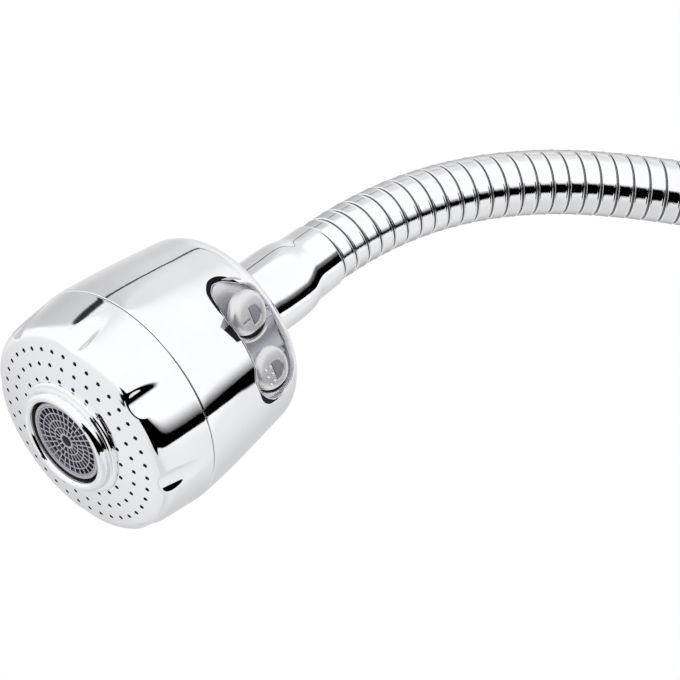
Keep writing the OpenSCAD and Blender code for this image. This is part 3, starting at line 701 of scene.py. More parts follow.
def rib(sh, r0, r1, ang, width, w0, w1, e=0.06, wall=0):
    """A rib along a radius, with a rounded front."""
    h = width / 2
    prof = [(-h, w1), (-h, w0 + e), (-h + e * 0.3, w0 + e * 0.3), (-h + e, w0), (h - e, w0), (h - e * 0.3, w0 + e * 0.3), (h, w0 + e), (h, w1)]
    nor = [(-1, 0), (-1, 0), (-0.7, -0.7), (0, -1), (0, -1), (0.7, -0.7), (1, 0), (1, 0)]
    c, s = math.cos(ang), math.sin(ang)
    V = np.array([[(r * c - t * s, r * s + t * c, w) for t, w in prof] for r in (r0, r1)])
    N = np.array([[(-a * s, a * c, b) for a, b in nor] for r in (r0, r1)])
    sh.grid(V[:, 1:7], N[:, 1:7], wrap=False)
    sh.grid(V[:, :2], N[:, :2], wrap=False, mat=wall)
    sh.grid(V[:, 6:], N[:, 6:], wrap=False, mat=wall)


# the side walls of the grid's rings and ribs take the darker plastic, painted shade down the cells; the outer ring's
# rib walls take the near-black, painted shade
GW = -3.25
small_ring(grid, 8.75, 9.1, GW, GW + 1.3)
for r_in, r_out, n, width in ((7.4, 9.0, 30, 0.34), (5.55, 7.4, 30, 0.32), (3.75, 5.55, 24, 0.32), (1.95, 3.75, 15, 0.32)):
    if r_out < 8.9:
        small_ring(grid, r_out - 0.28, r_out, GW, GW + 1.3, wall=2)
    for i in range(n):
        rib(grid, r_in - 0.1, r_out - 0.14, 2 * math.pi * i / n, width, GW + 0.08, GW + 1.25, wall=1 if r_out > 8 else 2)
small_ring(grid, 1.45, 1.98, GW, GW + 1.3, 0.12, wall=2)
# painted shade: a near-black disc behind the grid
grid.lathe(np.array([(9.0, GW + 1.28), (6.0, GW + 1.28), (3.0, GW + 1.28), (0.4, GW + 1.28), (0.02, GW + 1.28)]), 96, mat=1, sign=-1)
grid.build("aerator_grid_face", HEAD, [M_LILAC, M_BORE_SHADE, M_CELL_SHADE], "head", ["aerator_grid"])

# ------------------------------------------------------------------ neck ferrule
fer = Shell()
FER = [(8.6, 49.72), (9.2, 49.72), (9.45, 49.76), (9.58, 49.95), (9.6, 50.4), (9.6, 53), (9.6, 57), (9.6, 61), (9.59, 64.5), (9.56, 66.4), (9.48, 68.0), (9.32, 69.4), (9.1, 70.5),
       (8.84, 71.4), (8.58, 72.3), (8.42, 73.4), (8.36, 74.8), (8.31, 76.5), (8.25, 78.4), (8.21, 79.4), (8.17, 79.75), (8.05, 79.88), (7.8, 79.9), (7.2, 79.9), (6.6, 79.9)]
fp = resample(bspline(FER, 4000), lambda s: 0.1 if s < 1.4 else (0.5 if s < 17 else (0.2 if s < 29.5 else 0.05)))
fn0 = profile_normals(fp)
# the shading normals on one side of the sleeve are bent to read a little flatter, the surface itself staying round, so
# the dark reflection along it is broad; its two edges, in degrees
FLAT_W = fp[:, 1]
flat_up = np.interp(FLAT_W, [58, 59.5, 62, 67.6, 69.4, 70.8, 72.1, 79], [1.5, 3, 4, 4, 0.5, -3.5, -6.8, -6.5])
flat_lo = np.interp(FLAT_W, [57, 60, 66, 69.5, 70.7, 71.9, 73.6, 79], [14, 15.5, 16.5, 16.5, 13.5, 10.5, 8.2, 8.5])
mid_f, half_f = (flat_up + flat_lo)[:, None] / 2, (flat_lo - flat_up)[:, None] / 2
th = np.linspace(0, 360, 400, endpoint=False)
off = (th[None, :] - math.degrees(TURN) - mid_f + 180) % 360 - 180
near = np.clip(off, -half_f, half_f)
far = np.clip((np.abs(off) - half_f) / np.where(off < 0, 18.0, 30.0), 0, 1)
fade = (1 - far * far * (3 - 2 * far)) * np.clip((FLAT_W[:, None] - 50.3) / 2, 0, 1) * np.clip((80.1 - FLAT_W[:, None]) / 0.3, 0, 1)
shift = ((8.4 - mid_f) + (1.55 / half_f - 1) * near) * fade
tn, tv = np.radians(th[None, :] + shift), np.radians(np.repeat(th[None, :], len(fp), 0))
nw = np.repeat(fn0[:, 1:2], len(th), 1) * (1 - 0.85 * fade)
nr_ = np.sqrt(1 - nw ** 2) * np.sign(fn0[:, 0:1] + 1e-9)
FV = np.stack([fp[:, 0:1] * np.cos(tv), fp[:, 0:1] * np.sin(tv), np.repeat(fp[:, 1:2], len(th), 1)], -1)
FN = np.stack([nr_ * np.cos(tn), nr_ * np.sin(tn), nw], -1)
plain = np.stack([fn0[:, 0:1] * np.cos(tv), fn0[:, 0:1] * np.sin(tv), np.repeat(fn0[:, 1:2], len(th), 1)], -1)
FN = np.where(fade[..., None] > 0, FN, plain)
fer.grid(FV, FN, True, 0, flip=False)
fer.build("neck_ferrule_skin", NECK, [M_CHROME], "hose_9", ["neck_ferrule"])

# ------------------------------------------------------------------ gooseneck strip
# One right-handed winding. Across one pitch: gap, outer land, crease and rolled lip; the gap takes a darker metal,
# painted shade in the groove.
BAND = [(0.00, 7.16), (0.12, 7.18), (0.18, 7.26), (0.23, 7.50), (0.29, 7.66), (0.40, 7.76), (0.60, 7.79), (1.2, 7.80), (2.0, 7.81), (2.7, 7.82), (3.05, 7.825), (3.20, 7.815), (3.29, 7.77), (3.38, 7.80),
        (3.46, 7.865), (3.60, 7.895), (3.74, 7.875), (3.86, 7.79), (3.95, 7.60), (4.01, 7.34), (4.08, 7.19), (4.283, 7.16)]
BAND = np.array(BAND)
NB = 168                             # columns round one turn
TURNS = int(round(HOSE_L / PITCH)) + 1
# the direction, round the hose, that the ring lines are counted on
VIEW_M = math.radians(-118.0)
cols_n = TURNS * NB + 1
phi = np.arange(cols_n) * 2 * math.pi / NB - 2 * math.pi
SG = PITCH * phi[None, :] / (2 * math.pi) + BAND[:, 0:1]
RG = np.repeat(BAND[:, 1:2], cols_n, 1)
AG = np.repeat(phi[None, :] + VIEW_M, len(BAND), 0)


def strip_points(s, r, a):
    P, T, X = path(np.clip(s, -6, HOSE_L + 6))
    # beyond the neck the path runs on straight
    return P + r[..., None] * (np.cos(a)[..., None] * X + np.sin(a)[..., None] * np.array([0, 1.0, 0]))


def strip_frame(s):
    s = np.asarray(s)
    flat = s.ravel()
    inside_s = np.clip(flat, 0, HOSE_L - 1e-9)
    P, T, X = path(inside_s)
    P = P + (flat - inside_s)[:, None] * T
    return P.reshape(s.shape + (3,)), T.reshape(s.shape + (3,)), X.reshape(s.shape + (3,))


P, T, X = strip_frame(SG)
RADIAL = np.cos(AG)[..., None] * X + np.sin(AG)[..., None] * np.array([0, 1.0, 0])
VG = P + RG[..., None] * RADIAL
# the profile's own slope gives the normal, tilted a little by the helix
dB = np.gradient(BAND, axis=0)
prof_n = np.stack([dB[:, 0], -dB[:, 1]], 1)
prof_n /= np.linalg.norm(prof_n, axis=1)[:, None]
dv = np.gradient(VG, axis=1)
helix = np.cross(dv, T)
helix /= np.maximum(np.linalg.norm(helix, axis=-1), 1e-12)[..., None]
helix *= np.sign((helix * RADIAL).sum(-1))[..., None]
NG = prof_n[:, None, 0:1] * (0.5 * RADIAL + 0.5 * helix) + prof_n[:, None, 1:2] * T
NG /= np.linalg.norm(NG, axis=-1)[..., None]
rowsn, colsn = SG.shape
idx = np.arange(rowsn * colsn).reshape(rowsn, colsn)
quads = np.stack([idx[:-1, :-1], idx[:-1, 1:], idx[1:, 1:], idx[1:, :-1]], -1).reshape(-1, 4)
sc = SG.reshape(-1)[quads].mean(1)
rq = RG.reshape(-1)[quads].mean(1)
lowest = SG.reshape(-1)[quads].max(1)
keep = (lowest > -0.12) & (SG.reshape(-1)[quads].min(1) < HOSE_L + 0.12)
# painted shade: the faces down in the groove take the darker metal
gap_shade_mat = (rq < 7.42).astype(int)
ALONG = SG.reshape(-1) * 1.0
Vf, Nf = VG.reshape(-1, 3), NG.reshape(-1, 3)
cuts = [-99.0] + [SEG_L * (i + 0.5) for i in range(9)] + [9999.0]
for i in range(10):
    sel = keep & (sc >= cuts[i]) & (sc < cuts[i + 1])
    q = quads[sel]
    used, inv = np.unique(q, return_inverse=True)
    sh = Shell()
    sh.add(Vf[used], Nf[used], inv.reshape(-1, 4).tolist(), 0, ALONG[used])
    sh.m = gap_shade_mat[sel].tolist()
    k = 9 - i            # i 0 is the neck's half of segment 9, i 9 the wall's half of segment 1
    if i == 0:
        sh.build("gooseneck_strip_neck", (np.eye(3), np.zeros(3)), [M_STRIP, M_GAP_SHADE], "hose_9", ["hose_bands_9"])
    elif i == 9:
        sh.build("gooseneck_strip_wall", (np.eye(3), np.zeros(3)), [M_STRIP, M_GAP_SHADE], "hose_1", ["hose_bands_1"])
    else:
        # this length runs from the middle of segment k+1 to the middle of segment k
        ob = sh.build(f"gooseneck_strip_{i}", (np.eye(3), np.zeros(3)), [M_STRIP, M_GAP_SHADE], None, [f"hose_bands_{k + 1}", f"hose_bands_{k}"])
        a = seg_point(k + 1, 0.5) * 0.001
        b = seg_point(k, 0.5) * 0.001
        if k == 4:
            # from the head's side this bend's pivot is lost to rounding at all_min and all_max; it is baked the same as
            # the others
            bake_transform(ob)
        else:
            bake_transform(ob)

# ------------------------------------------------------------------ mode rocker
rk = Shell()
TILT = math.radians(7)
LEAN = math.radians(8.2)
PAD_Y = 7.1


def rocker_tilt(P, N):
    """The rocker's own frame to the head's, turned about its pin."""
    P = P.copy(); N = N.copy()
    x, y = P[..., 0] - 21.9, P[..., 1].copy()
    P[..., 0] = 21.9 + x * math.cos(TILT) - y * math.sin(TILT)
    P[..., 1] = x * math.sin(TILT) + y * math.cos(TILT)
    nx, ny = N[..., 0].copy(), N[..., 1].copy()
    N[..., 0] = nx * math.cos(TILT) - ny * math.sin(TILT)
    N[..., 1] = nx * math.sin(TILT) + ny * math.cos(TILT)
    return P, N


def pad_place(U, Vv, H, NU, NV, NH, s):
    """Pad coordinates (u along y, v along w, h outwards from the pin's level) to the head's frame."""
    ax = np.array([math.cos(LEAN), 0, math.sin(LEAN)])
    vz = np.array([-math.sin(LEAN), 0, math.cos(LEAN)])
    ty = np.array([0, 1.0, 0])
    P = H[..., None] * ax + U[..., None] * ty + Vv[..., None] * vz + np.array([21.9, s * PAD_Y, PK_C])
    N = NH[..., None] * ax + NU[..., None] * ty + NV[..., None] * vz
    return rocker_tilt(P, N)


PAD = bspline([(0, 2.42), (1.2, 2.415), (2.4, 2.395), (3.3, 2.36), (3.9, 2.31), (4.35, 2.23), (4.75, 2.10), (5.08, 1.90), (5.32, 1.62), (5.48, 1.28), (5.57, 0.9),
               (5.6, 0.4), (5.6, -0.05), (5.57, -0.25), (5.4, -0.35)], 400)
PAD_N = np.stack([-np.gradient(PAD[:, 1]), np.gradient(PAD[:, 0])], 1)
PAD_N /= np.linalg.norm(PAD_N, axis=1)[:, None]
PAD_R0 = 4.15        # inside this radius the top is meshed round the marks
pad_i0 = int(np.argmax(PAD[:, 0] > PAD_R0))


def pad_height(u, v):
    r = np.hypot(u, v)
    q = PAD[: pad_i0 + 40]
    h = np.interp(r, q[:, 0], q[:, 1])
    n = PAD_N[: pad_i0 + 40]
    nr, nh = np.interp(r, q[:, 0], n[:, 0]), np.interp(r, q[:, 0], n[:, 1])
    rr = np.maximum(r, 1e-6)
    return h, nr * u / rr, nr * v / rr, nh


def pad_rim(s):
    p = PAD[pad_i0:][::4]
    n = PAD_N[pad_i0:][::4]
    r0 = p[0, 0]
    th = np.linspace(0, 2 * math.pi, 160, endpoint=False)
    P, N = pad_place(p[:, 0:1] * np.cos(th), p[:, 0:1] * np.sin(th), np.repeat(p[:, 1:2], 160, 1),
                     n[:, 0:1] * np.cos(th), n[:, 0:1] * np.sin(th), np.repeat(n[:, 1:2], 160, 1), s)
    rk.grid(P, N)
    return r0


def d_shape(cu, cv, half_w, deep, n=36, grow=0.0):
    """Outline of a half-disc, straight side towards -v, in (u, v)."""
    h = half_w + grow
    out = [(cu - h, cv - grow), (cu + h, cv - grow)]
    base_v = cv + deep - half_w
    for i in range(n + 1):
        a = math.pi * i / n
        out.append((cu + h * math.cos(a), base_v + h * math.sin(a)))
    return np.array(out)


def bar_shape(cu, cv, w, l, grow=0.0):
    a, b = w / 2 + grow, l / 2 + grow
    return np.array([(cu - a, cv - b), (cu + a, cv - b), (cu + a, cv + b), (cu - a, cv + b)])


def dense(poly, step=0.16):
    out = []
    for p, q in zip(poly, np.roll(poly, -1, 0)):
        n = max(1, int(np.linalg.norm(q - p) / step))
        out += [p + (q - p) * i / n for i in range(n)]
    return np.array(out)


def pad_top(s, shapes, domes, r0):
    """Top of a pad with engraved shapes and raised dots."""
    th = np.linspace(0, 2 * math.pi, 160, endpoint=False)
    pts = [(r0 * math.cos(a), r0 * math.sin(a)) for a in th]
    edges = [(i, (i + 1) % 160) for i in range(160)]
    cuts2 = []
    for make in shapes:
        q = dense(make(0.10))
        b = len(pts)
        pts += [tuple(p) for p in q]
        edges += [(b + i, b + (i + 1) % len(q)) for i in range(len(q))]
        cuts2.append(q)
    g2 = np.array([(x, y) for x in np.arange(-4.2, 4.21, 0.3) for y in np.arange(-4.2, 4.21, 0.3)])
    g2 = g2[np.hypot(g2[:, 0], g2[:, 1]) < r0 - 0.15]
    for q in cuts2:
        dq = np.min(np.linalg.norm(g2[:, None] - q[None], axis=-1), 1)
        g2 = g2[(~inside(g2, q)) & (dq > 0.12)]
    pts += [tuple(p) for p in g2]
    vo, _, fo, _, _, _ = delaunay_2d_cdt([Vector(p) for p in pts], edges, [], 0, 1e-6)
    vo = np.array([list(p) for p in vo])
    tri = np.array([f for f in fo if len(f) == 3])
    c = vo[tri].mean(1)
    k = np.ones(len(tri), bool)
    for q in cuts2:
        k &= ~inside(c, q)
    h, nu, nv, nh = pad_height(vo[:, 0], vo[:, 1])
    P, N = pad_place(vo[:, 0], vo[:, 1], h, nu, nv, nh, s)
    rk.add(P, N, tri[k].tolist())
    for make in shapes:
        outer = dense(make(0.10))
        m = len(outer)
        d = np.roll(outer, -1, 0) - np.roll(outer, 1, 0)
        nn = np.stack([d[:, 1], -d[:, 0]], 1)
        nn /= np.maximum(np.linalg.norm(nn, axis=1), 1e-9)[:, None]
        cen = outer.mean(0)
        if ((cen - outer) * nn).sum() < 0:
            nn = -nn                                # nn now points into the mark
        Ps, Ns = [], []
        for off, dep, tl in ((0.0, 0.0, 0.0), (0.05, -0.015, 0.45), (0.085, -0.05, 0.8), (0.10, -0.10, 1.0), (0.10, -0.20, 1.0), (0.14, -0.26, 0.6), (0.20, -0.28, 0.0)):
            q = outer + nn * off
            h, nu, nv, nh = pad_height(q[:, 0], q[:, 1])
            P, N = pad_place(q[:, 0], q[:, 1], h + dep, nu * (1 - tl) + nn[:, 0] * tl, nv * (1 - tl) + nn[:, 1] * tl, nh * (1 - tl), s)
            Ps.append(P); Ns.append(N)
        rk.grid(np.array(Ps), np.array(Ns))
        # the mark's floor, in the darker satin: painted shade in the recess
        ins = outer + nn * 0.20
        Ps, Ns = [], []
        for f in (0.0, 0.25, 0.5, 0.75, 1.0):
            q = ins * (1 - f) + cen * f
            h, nu, nv, nh = pad_height(q[:, 0], q[:, 1])
            P, N = pad_place(q[:, 0], q[:, 1], h - 0.28, nu, nv, nh, s)
            Ps.append(P); Ns.append(N)
        rk.grid(np.array(Ps), np.array(Ns), mat=1)
        # painted shade: a near-black strip in the corner under the straight side
        line = outer[(nn[:, 1] > 0.95)]
        if len(line) > 12:
            line = line[np.argsort(line[:, 0])][1:-1]
            Ps, Ns = [], []
            for off in (0.12, 0.24, 0.36, 0.48):
                q = line + np.array([0.0, off])
                h, nu, nv, nh = pad_height(q[:, 0], q[:, 1])
                P, N = pad_place(q[:, 0], q[:, 1], h - 0.262, nu, nv, nh, s)
                Ps.append(P); Ns.append(N)
            rk.grid(np.array(Ps), np.array(Ns), wrap=False, mat=3)
    for cu, cv, rad in domes:
        a = np.linspace(0, math.pi / 2, 7)
        th2 = np.linspace(0, 2 * math.pi, 24, endpoint=False)
        q = rad * np.cos(a)
        U = cu + q[:, None] * np.cos(th2)
        Vv = cv + q[:, None] * np.sin(th2)
        h0 = float(pad_height(np.array([cu]), np.array([cv]))[0][0])
        H = h0 - 0.03 + np.repeat(rad * 0.8 * np.sin(a)[:, None], 24, 1)
        P, N = pad_place(U, Vv, H, np.cos(a)[:, None] * np.cos(th2), np.cos(a)[:, None] * np.sin(th2), np.repeat(np.sin(a)[:, None], 24, 1), s)
        rk.grid(P, N, mat=2)


# y > 0: a half-disc with dots (spray); y < 0: a half-disc with a bar (one stream)
pad_top(1, [lambda g: d_shape(0.75, -0.4, 2.25, 3.5, grow=g)],
        [(-0.85, -1.05, 0.38), (0.85, -1.15, 0.38), (2.6, -1.3, 0.38), (-0.95, -2.75, 0.38), (0.85, -2.75, 0.38), (2.7, -2.75, 0.38)], pad_rim(1))
pad_top(-1, [lambda g: d_shape(0.35, -0.55, 2.3, 3.5, grow=g), lambda g: bar_shape(0.58, -2.35, 0.75, 2.4, g)], [], pad_rim(-1))
# painted shade: a near-black crescent on the shoulder of each pad, where its side is in shadow
for s, thick in ((-1, 1.75), (1, 1.25)):
    ph = np.radians(np.linspace(-58, 58, 70))
    r_in = 5.585 - thick * np.clip(np.cos(ph * 90 / 60), 0, 1)
    i_in = np.interp(r_in, PAD[: 320, 0], np.arange(320))
    i_out = float(np.argmax(PAD[:, 1] < 0.5))
    f = np.linspace(0, 1, 12)[:, None]
    at_i = i_in[None] * (1 - f) + i_out * f
    r, h, nr, nh = (np.interp(at_i, np.arange(len(PAD)), q) for q in (PAD[:, 0], PAD[:, 1], PAD_N[:, 0], PAD_N[:, 1]))
    r, h = r + 0.02 * nr, h + 0.02 * nh
    P, N = pad_place(r * np.cos(ph), r * np.sin(ph), h, nr * np.cos(ph), nr * np.sin(ph), nh, s)
    rk.grid(P, N, wrap=False, mat=3)
# a raised lip on the saddle that follows the far pad
ph = np.radians(np.linspace(-62, 62, 60))[None, :]
a = np.linspace(0, math.pi, 14)[:, None]
rr_, hh = 6.12 + 0.42 * np.cos(a) + 0 * ph, 1.0 + 0.42 * np.sin(a) * np.cos(ph * 90 / 64) ** 0.5
P = np.stack([21.9 + hh, -PAD_Y + rr_ * np.cos(ph), PK_C + rr_ * np.sin(ph)], -1)
N = np.stack([np.sin(a) + 0 * ph, np.cos(a) * np.cos(ph), np.cos(a) * np.sin(ph)], -1)
P, N = rocker_tilt(P, N)
rk.grid(P, N, wrap=False, mat=0)
# the saddle between the pads: a shallow trough with rounded flanks, in the darker satin, painted shade in the trough
ys = np.linspace(-5.9, 5.9, 72)
hw, e = 6.25, 0.7
prof = [(-hw, 19.6), (-hw, 21.0), (-hw, -e)] + [(-hw + e - e * math.cos(a), -e + e * math.sin(a)) for a in np.linspace(0.3, math.pi / 2, 6)] \
    + [(0.0, 0.0)] + [(hw - e + e * math.sin(a), -e + e * math.cos(a)) for a in np.linspace(0, math.pi / 2 - 0.3, 6)] + [(hw, -e), (hw, 21.0), (hw, 19.6)]
Ps = np.zeros((len(ys), len(prof), 3))
for i, y in enumerate(ys):
    topx = 23.06 + 0.03 * y * y - 1.3 * float(ease((abs(y) - 3.7) / 1.4))
    for j, (v, x) in enumerate(prof):
        Ps[i, j] = (x if x > 10 else topx + x, y, PK_C + v)
dr = np.gradient(Ps, axis=0); dc = np.gradient(Ps, axis=1)
Ns = np.cross(dr, dc)
Ns /= np.maximum(np.linalg.norm(Ns, axis=-1), 1e-12)[..., None]
if Ns[30, len(prof) // 2, 0] < 0:
    Ns = -Ns
P, N = rocker_tilt(Ps, Ns)
rk.grid(P, N, wrap=False, mat=1)
rk.build("mode_rocker_body", HEAD, [M_SATIN, M_SATIN_SHADED, M_CHROME, M_SHADE_BLACK], "rocker", ["mode_rocker"])

# ------------------------------------------------------------------ base ferrule and union nut
bf = Shell()
BF = [(7.7, -18.0), (8.8, -18.0), (9.25, -18.03), (9.52, -18.2), (9.6, -18.6), (9.6, -20), (9.6, -24), (9.6, -28), (9.58, -31.5), (9.5, -33.6), (9.36, -35.2), (9.1, -36.5),
      (8.8, -37.6), (8.55, -38.5), (8.4, -39.6), (8.34, -41), (8.28, -43), (8.23, -44.4), (8.18, -44.8), (8.05, -44.97), (7.7, -45), (7.1, -45), (6.6, -45)]
bf.lathe(resample(bspline(BF, 4000), lambda s: 0.08 if s < 2 else 0.4), 288)
bf.build("base_ferrule_skin", INLET, [M_CHROME], "hose_1", ["base_ferrule"])
nut = Shell()
nth = 720
th = np.linspace(0, 2 * math.pi, nth, endpoint=False)
hexr = 13.0 / np.cos(th % (math.pi / 3) - math.pi / 6)
hexr = smin(hexr, np.full(nth, 14.88), 0.5)
zz = np.concatenate([np.linspace(0, -1.7, 26), np.linspace(-1.95, -15.55, 35), np.linspace(-15.8, -17.5, 26)])
lim = np.minimum(12.55 + np.maximum(-zz, 0) * 2.2 / 1.3, 12.55 + np.maximum(zz + 17.5, 0) * 2.2 / 1.3)
RG2 = smin(np.repeat(hexr[None], len(zz), 0), np.repeat(lim[:, None], nth, 1), 0.25)
V = np.stack([RG2 * np.cos(th), RG2 * np.sin(th), np.repeat(zz[:, None], nth, 1)], -1)
N = np.cross(np.roll(V, -1, 1) - np.roll(V, 1, 1), np.gradient(V, axis=0))
N /= np.linalg.norm(N, axis=-1)[..., None]
if (N[40] * V[40] * [1, 1, 0]).sum() < 0:
    N = -N
nut.grid(V, N)
# front and back faces
for z, r_in, sg in ((0.0, 10.75, 1), (-17.5, 7.75, -1)):
    outer = V[0] if sg > 0 else V[-1]
    rows, nrm = [outer], [np.tile([0, 0, float(sg)], (nth, 1))]
    for f in (0.5, 1.0):
        rq = np.hypot(outer[:, 0], outer[:, 1])
        rnew = rq + (r_in - rq) * f
        rows.append(np.stack([rnew * np.cos(th), rnew * np.sin(th), np.full(nth, z)], 1))
        nrm.append(nrm[0])
    nut.grid(np.array(rows), np.array(nrm))
# mouth chamfer, then the right-handed thread cut outwards from the crest bore
TP = 1.814
tz = np.concatenate([np.linspace(0, -0.9, 12), np.linspace(-0.96, -10.0, 110)])
TH2, TZ = np.meshgrid(th[::4], tz)
u = (TZ / TP - TH2 / (2 * math.pi)) % 1.0
tri_w = np.abs(u - 0.5) * 2                     # 0 in the root's middle, 1 at the crest
depth = np.clip((1 - tri_w) * 1.45 - 0.2, 0, 1.05)
fade = np.clip((TZ + 10.0) / 1.2, 0, 1)
RT = np.maximum(9.32 + depth * fade, 10.75 + TZ * 1.2)
V = np.stack([RT * np.cos(TH2), RT * np.sin(TH2), TZ], -1)
N = np.cross(np.roll(V, -1, 1) - np.roll(V, 1, 1), np.gradient(V, axis=0))
N /= np.linalg.norm(N, axis=-1)[..., None]
if (N[50] * V[50] * [1, 1, 0]).sum() > 0:
    N = -N
nut.grid(V, N, mat=1)
relief = bspline([(9.32, -10.0), (9.6, -10.02), (9.77, -10.2), (9.77, -11), (9.77, -13.6), (9.77, -14.5), (9.6, -14.7), (9.2, -14.7), (8.2, -14.7), (7.85, -14.75), (7.75, -15.0), (7.72, -16), (7.72, -17.2), (7.75, -17.5)], 90)
nrl = profile_normals(relief)
nut.lathe(relief, 180, mat=1, sign=-1 if nrl[30, 0] > 0 else 1)
nut.build("union_nut_body", INLET, [M_NUT, M_BRASS], "inlet", ["inlet_nut"])

# ------------------------------------------------------------------ camera
# Fitted to the photograph: f 4000 px, 680 px wide.
CAM_A = np.array([-0.676, -0.510, 0.532]); CAM_A /= np.linalg.norm(CAM_A)
CAM_N = np.array([0.277, 0.493, 0.825]); CAM_N -= CAM_A * (CAM_N @ CAM_A); CAM_N /= np.linalg.norm(CAM_N)
E1 = np.cross(CAM_N, CAM_A)
RX = math.cos(DIP) * (-CAM_A) + math.sin(DIP) * E1
RZ = math.sin(DIP) * (-CAM_A) - math.cos(DIP) * E1
RY = -CAM_N
ROW2CAM = np.stack([RX, RY, RZ], 1)
C_FACE = np.array([-59.08, -21.02, -897.1])
cam_pos = FACE_PT - ROW2CAM.T @ C_FACE
cam = bpy.data.cameras.new("photo_camera")
cam.sensor_width = 36.0
cam.lens = 4000.0 * 36.0 / 680.0
cam.clip_start, cam.clip_end = 0.05, 50
cam_ob = bpy.data.objects.new("photo_camera", cam)
bpy.context.scene.collection.objects.link(cam_ob)
mw = Matrix.Identity(4)
for i in range(3):
    for j in range(3):
        mw[i][j] = ROW2CAM.T[i, j]
    mw[i][3] = cam_pos[i] * 0.001
cam_ob.matrix_world = mw
bpy.context.scene.camera = cam_ob
CAM_AXES = ROW2CAM.T          # columns: camera right, up, back, in the row frame


def cam_dir(az, el):
    """Unit direction in the row frame for an azimuth (0 behind the camera, 90 to its right) and elevation in camera terms."""
    a, e2 = math.radians(az), math.radians(el)
    d = np.array([math.cos(e2) * math.sin(a), math.sin(e2), math.cos(e2) * math.cos(a)])
    return CAM_AXES @ d


# ------------------------------------------------------------------ stage and light
me = bpy.data.meshes.new("floor")
z = -2.6
me.from_pydata([(-9, -9, z), (9, -9, z), (9, 9, z), (-9, 9, z)], [], [(0, 1, 2, 3)])
floor = bpy.data.objects.new("floor", me)
bpy.context.scene.collection.objects.link(floor)
fm, fnt, fb = new_mat("floor_paper")
fn1 = noise(fnt, 3.0, 3, 0.5, coords(fnt))
link(fnt, ramp(fnt, fn1.outputs["Fac"], 0.3, (0.86, 0.86, 0.86), 0.7, (0.90, 0.90, 0.90)).outputs["Color"], fb.inputs["Base Color"])
fb.inputs["Roughness"].default_value = 0.85
floor.data.materials.append(fm)
floor.visible_glossy = False

world = bpy.data.worlds.new("studio")
bpy.context.scene.world = world
world.use_nodes = True
wt = world.node_tree
bg = wt.nodes["Background"]
bg.inputs["Color"].default_value = (1, 1, 1, 1)
bg.inputs["Strength"].default_value = 1.0
bpy.context.scene.view_settings.view_transform = "Standard"

# What the chrome sees, as a large dome that only reflections see. It was laid out in the
# camera's azimuth and elevation: a white room, a dark opening that runs from behind the camera
# round to its right, a pale floor, a pale ceiling behind the object and one thin dark seam in it.
# azimuth, lower edge, upper edge, softness above, softness below (degrees)
DARK = np.array([(-95, -37, -36.6, 0.6, 0.6), (-75, -38.2, -36.2, 0.6, 0.6), (-60, -34.5, -30.5, 0.6, 0.6), (-45, -38, -25.5, 1, 1), (-36, -48, -22, 1, 1),
                 (-30, -57, -16, 1, 1), (-22, -59, -6, 2, 1), (-8, -60, 0, 3, 1), (12, -60, 0, 3, 1), (22, -54, -2, 4, 1),
                 (30, -46, -5, 6, 1), (45, -38.5, -10, 8, 1.2), (60, -31.5, -14, 12, 1.2), (70, -26, -14.2, 13, 1), (76, -22, -13, 14, 0.8),
                 (80.5, -19, -10, 14, 0.8), (84, -16, -6.5, 14, 0.8), (87, -13.4, -4.8, 13, 0.8), (90, -11.6, -2.8, 11, 0.8), (93, -10.2, -1.2, 9, 0.8),
                 (96, -9.2, -0.6, 6, 0.8), (98, -8.6, 2, 4, 0.8), (100, -9, 14, 3, 0.8), (103, -9.5, 17, 2, 0.8), (107, -8, 12, 1.5, 1),
                 (110, -6.5, 3, 1, 1), (113, -3, -3, 1, 1)])
# azimuth, lower edge, upper edge
SEAM = np.array([(-215, 58.5, 60), (-198, 60, 61.4), (-184, 61.8, 63.1), (-172, 60.4, 61.9), (-162, 62.8, 64.6), (-150, 65.8, 68.2),
                 (-140, 62, 67), (-122, 67.5, 71), (-116, 71.5, 72)])


def smooth(x):
    x = np.clip(x, 0, 1)
    return x * x * (3 - 2 * x)


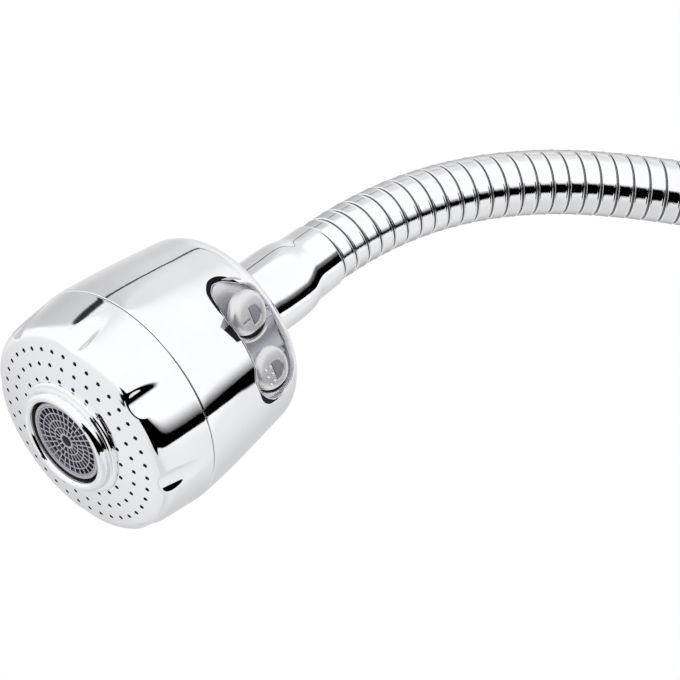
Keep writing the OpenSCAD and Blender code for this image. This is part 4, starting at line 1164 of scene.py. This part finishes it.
def room(az, el):
    """Brightness of the room, 0 to 1, in display values."""
    v = np.ones(az.shape)
    a2 = np.where(az > 60, az - 360, az)
    back = smooth((a2 + 182) / 26) * smooth((-112 - a2) / 22) * smooth((el - 6) / 34)
    v -= 0.19 * back
    top = np.maximum(smooth((el - 50) / 14) * smooth((az - 70) / 60), smooth((el - 50) / 14) * smooth((-150 - az) / 20))
    v -= 0.10 * top * (1 - back)
    behind = np.degrees(np.arccos(np.clip(-np.cos(np.radians(el)) * np.cos(np.radians(az)), -1, 1)))
    v -= 0.09 * smooth((75 - behind) / 45) * (1 - 0.6 * back)
    v -= 0.07 * smooth((el - 66) / 12) * smooth((az + 130) / 20) * smooth((20 - az) / 60)
    low = smooth((-el - 14) / 14)
    low = np.maximum(low, smooth((-el - 2) / 8) * smooth((az - 92) / 12))
    low = np.maximum(low, smooth((-el - 2) / 14) * smooth((-85 - az) / 10))
    v -= 0.075 * low
    v -= 0.08 * smooth((-el - 40) / 30) * (1 - 0.65 * smooth((az + 180) / 15) * smooth((-50 - az) / 30))
    lo, hi, sh, sl = (np.interp(az, DARK[:, 0], DARK[:, i]) for i in (1, 2, 3, 4))
    k = np.clip((el - hi) / sh, 0, 1)
    step = smooth((el - hi) / 0.9 + 0.5)
    soft = np.clip((sh - 3) / 8, 0, 1)
    above = step * (1 - soft * 0.70 * (1 - k) ** 1.7)
    dark = (1 - above) * (1 - smooth((lo - el) / sl + 0.5))
    v *= 1 - np.where((az > DARK[0, 0]) & (az < DARK[-1, 0]), dark, 0)
    l0, l1 = np.interp(a2, SEAM[:, 0], SEAM[:, 1]), np.interp(a2, SEAM[:, 0], SEAM[:, 2])
    mid, hw = (l0 + l1) / 2, (l1 - l0) / 2
    t = 1 - smooth((np.abs(el - mid) - hw * 0.6) / (hw * 0.8 + 0.15))
    v *= 1 - np.where((a2 > SEAM[0, 0]) & (a2 < SEAM[-1, 0]), 0.78 * t * (0.3 + 0.7 * smooth((a2 + 192) / 12)), 0)
    return np.clip(v, 0, 1)


def to_linear(v):
    return np.where(v <= 0.04045, v / 12.92, ((v + 0.055) / 1.055) ** 2.4)


AZ, EL = np.meshgrid(np.arange(-180, 180, 0.5), np.arange(-90, 90.01, 0.5))
lum = to_linear(room(AZ, EL)) * 1.08
ra, re = np.radians(AZ), np.radians(EL)
D = np.stack([np.cos(re) * np.sin(ra), np.sin(re), np.cos(re) * np.cos(ra)], -1) @ CAM_AXES.T
CENTRE = FACE_PT * 0.001
verts = CENTRE + 20.0 * D
nr, nc = AZ.shape
idx = np.arange(nr * nc).reshape(nr, nc)
quads = np.stack([idx[:-1], np.roll(idx[:-1], -1, 1), np.roll(idx[1:], -1, 1), idx[1:]], -1).reshape(-1, 4)
me = bpy.data.meshes.new("reflection_room")
me.from_pydata(verts.reshape(-1, 3).tolist(), [], quads.tolist())
at = me.attributes.new("lum", "FLOAT", "POINT")
at.data.foreach_set("value", lum.ravel().astype(np.float32))
dome = bpy.data.objects.new("reflection_room", me)
bpy.context.scene.collection.objects.link(dome)
dm = bpy.data.materials.new("room_light")
dm.use_nodes = True
dt = dm.node_tree
dt.nodes.clear()
d_out = dt.nodes.new("ShaderNodeOutputMaterial")
d_em = dt.nodes.new("ShaderNodeEmission")
d_at = dt.nodes.new("ShaderNodeAttribute"); d_at.attribute_name = "lum"
dt.links.new(d_at.outputs["Fac"], d_em.inputs["Strength"])
dt.links.new(d_em.outputs[0], d_out.inputs["Surface"])
dm.cycles.emission_sampling = "NONE"
me.materials.append(dm)
dome.visible_camera = False
dome.visible_diffuse = False
dome.visible_shadow = False
dome.visible_transmission = False
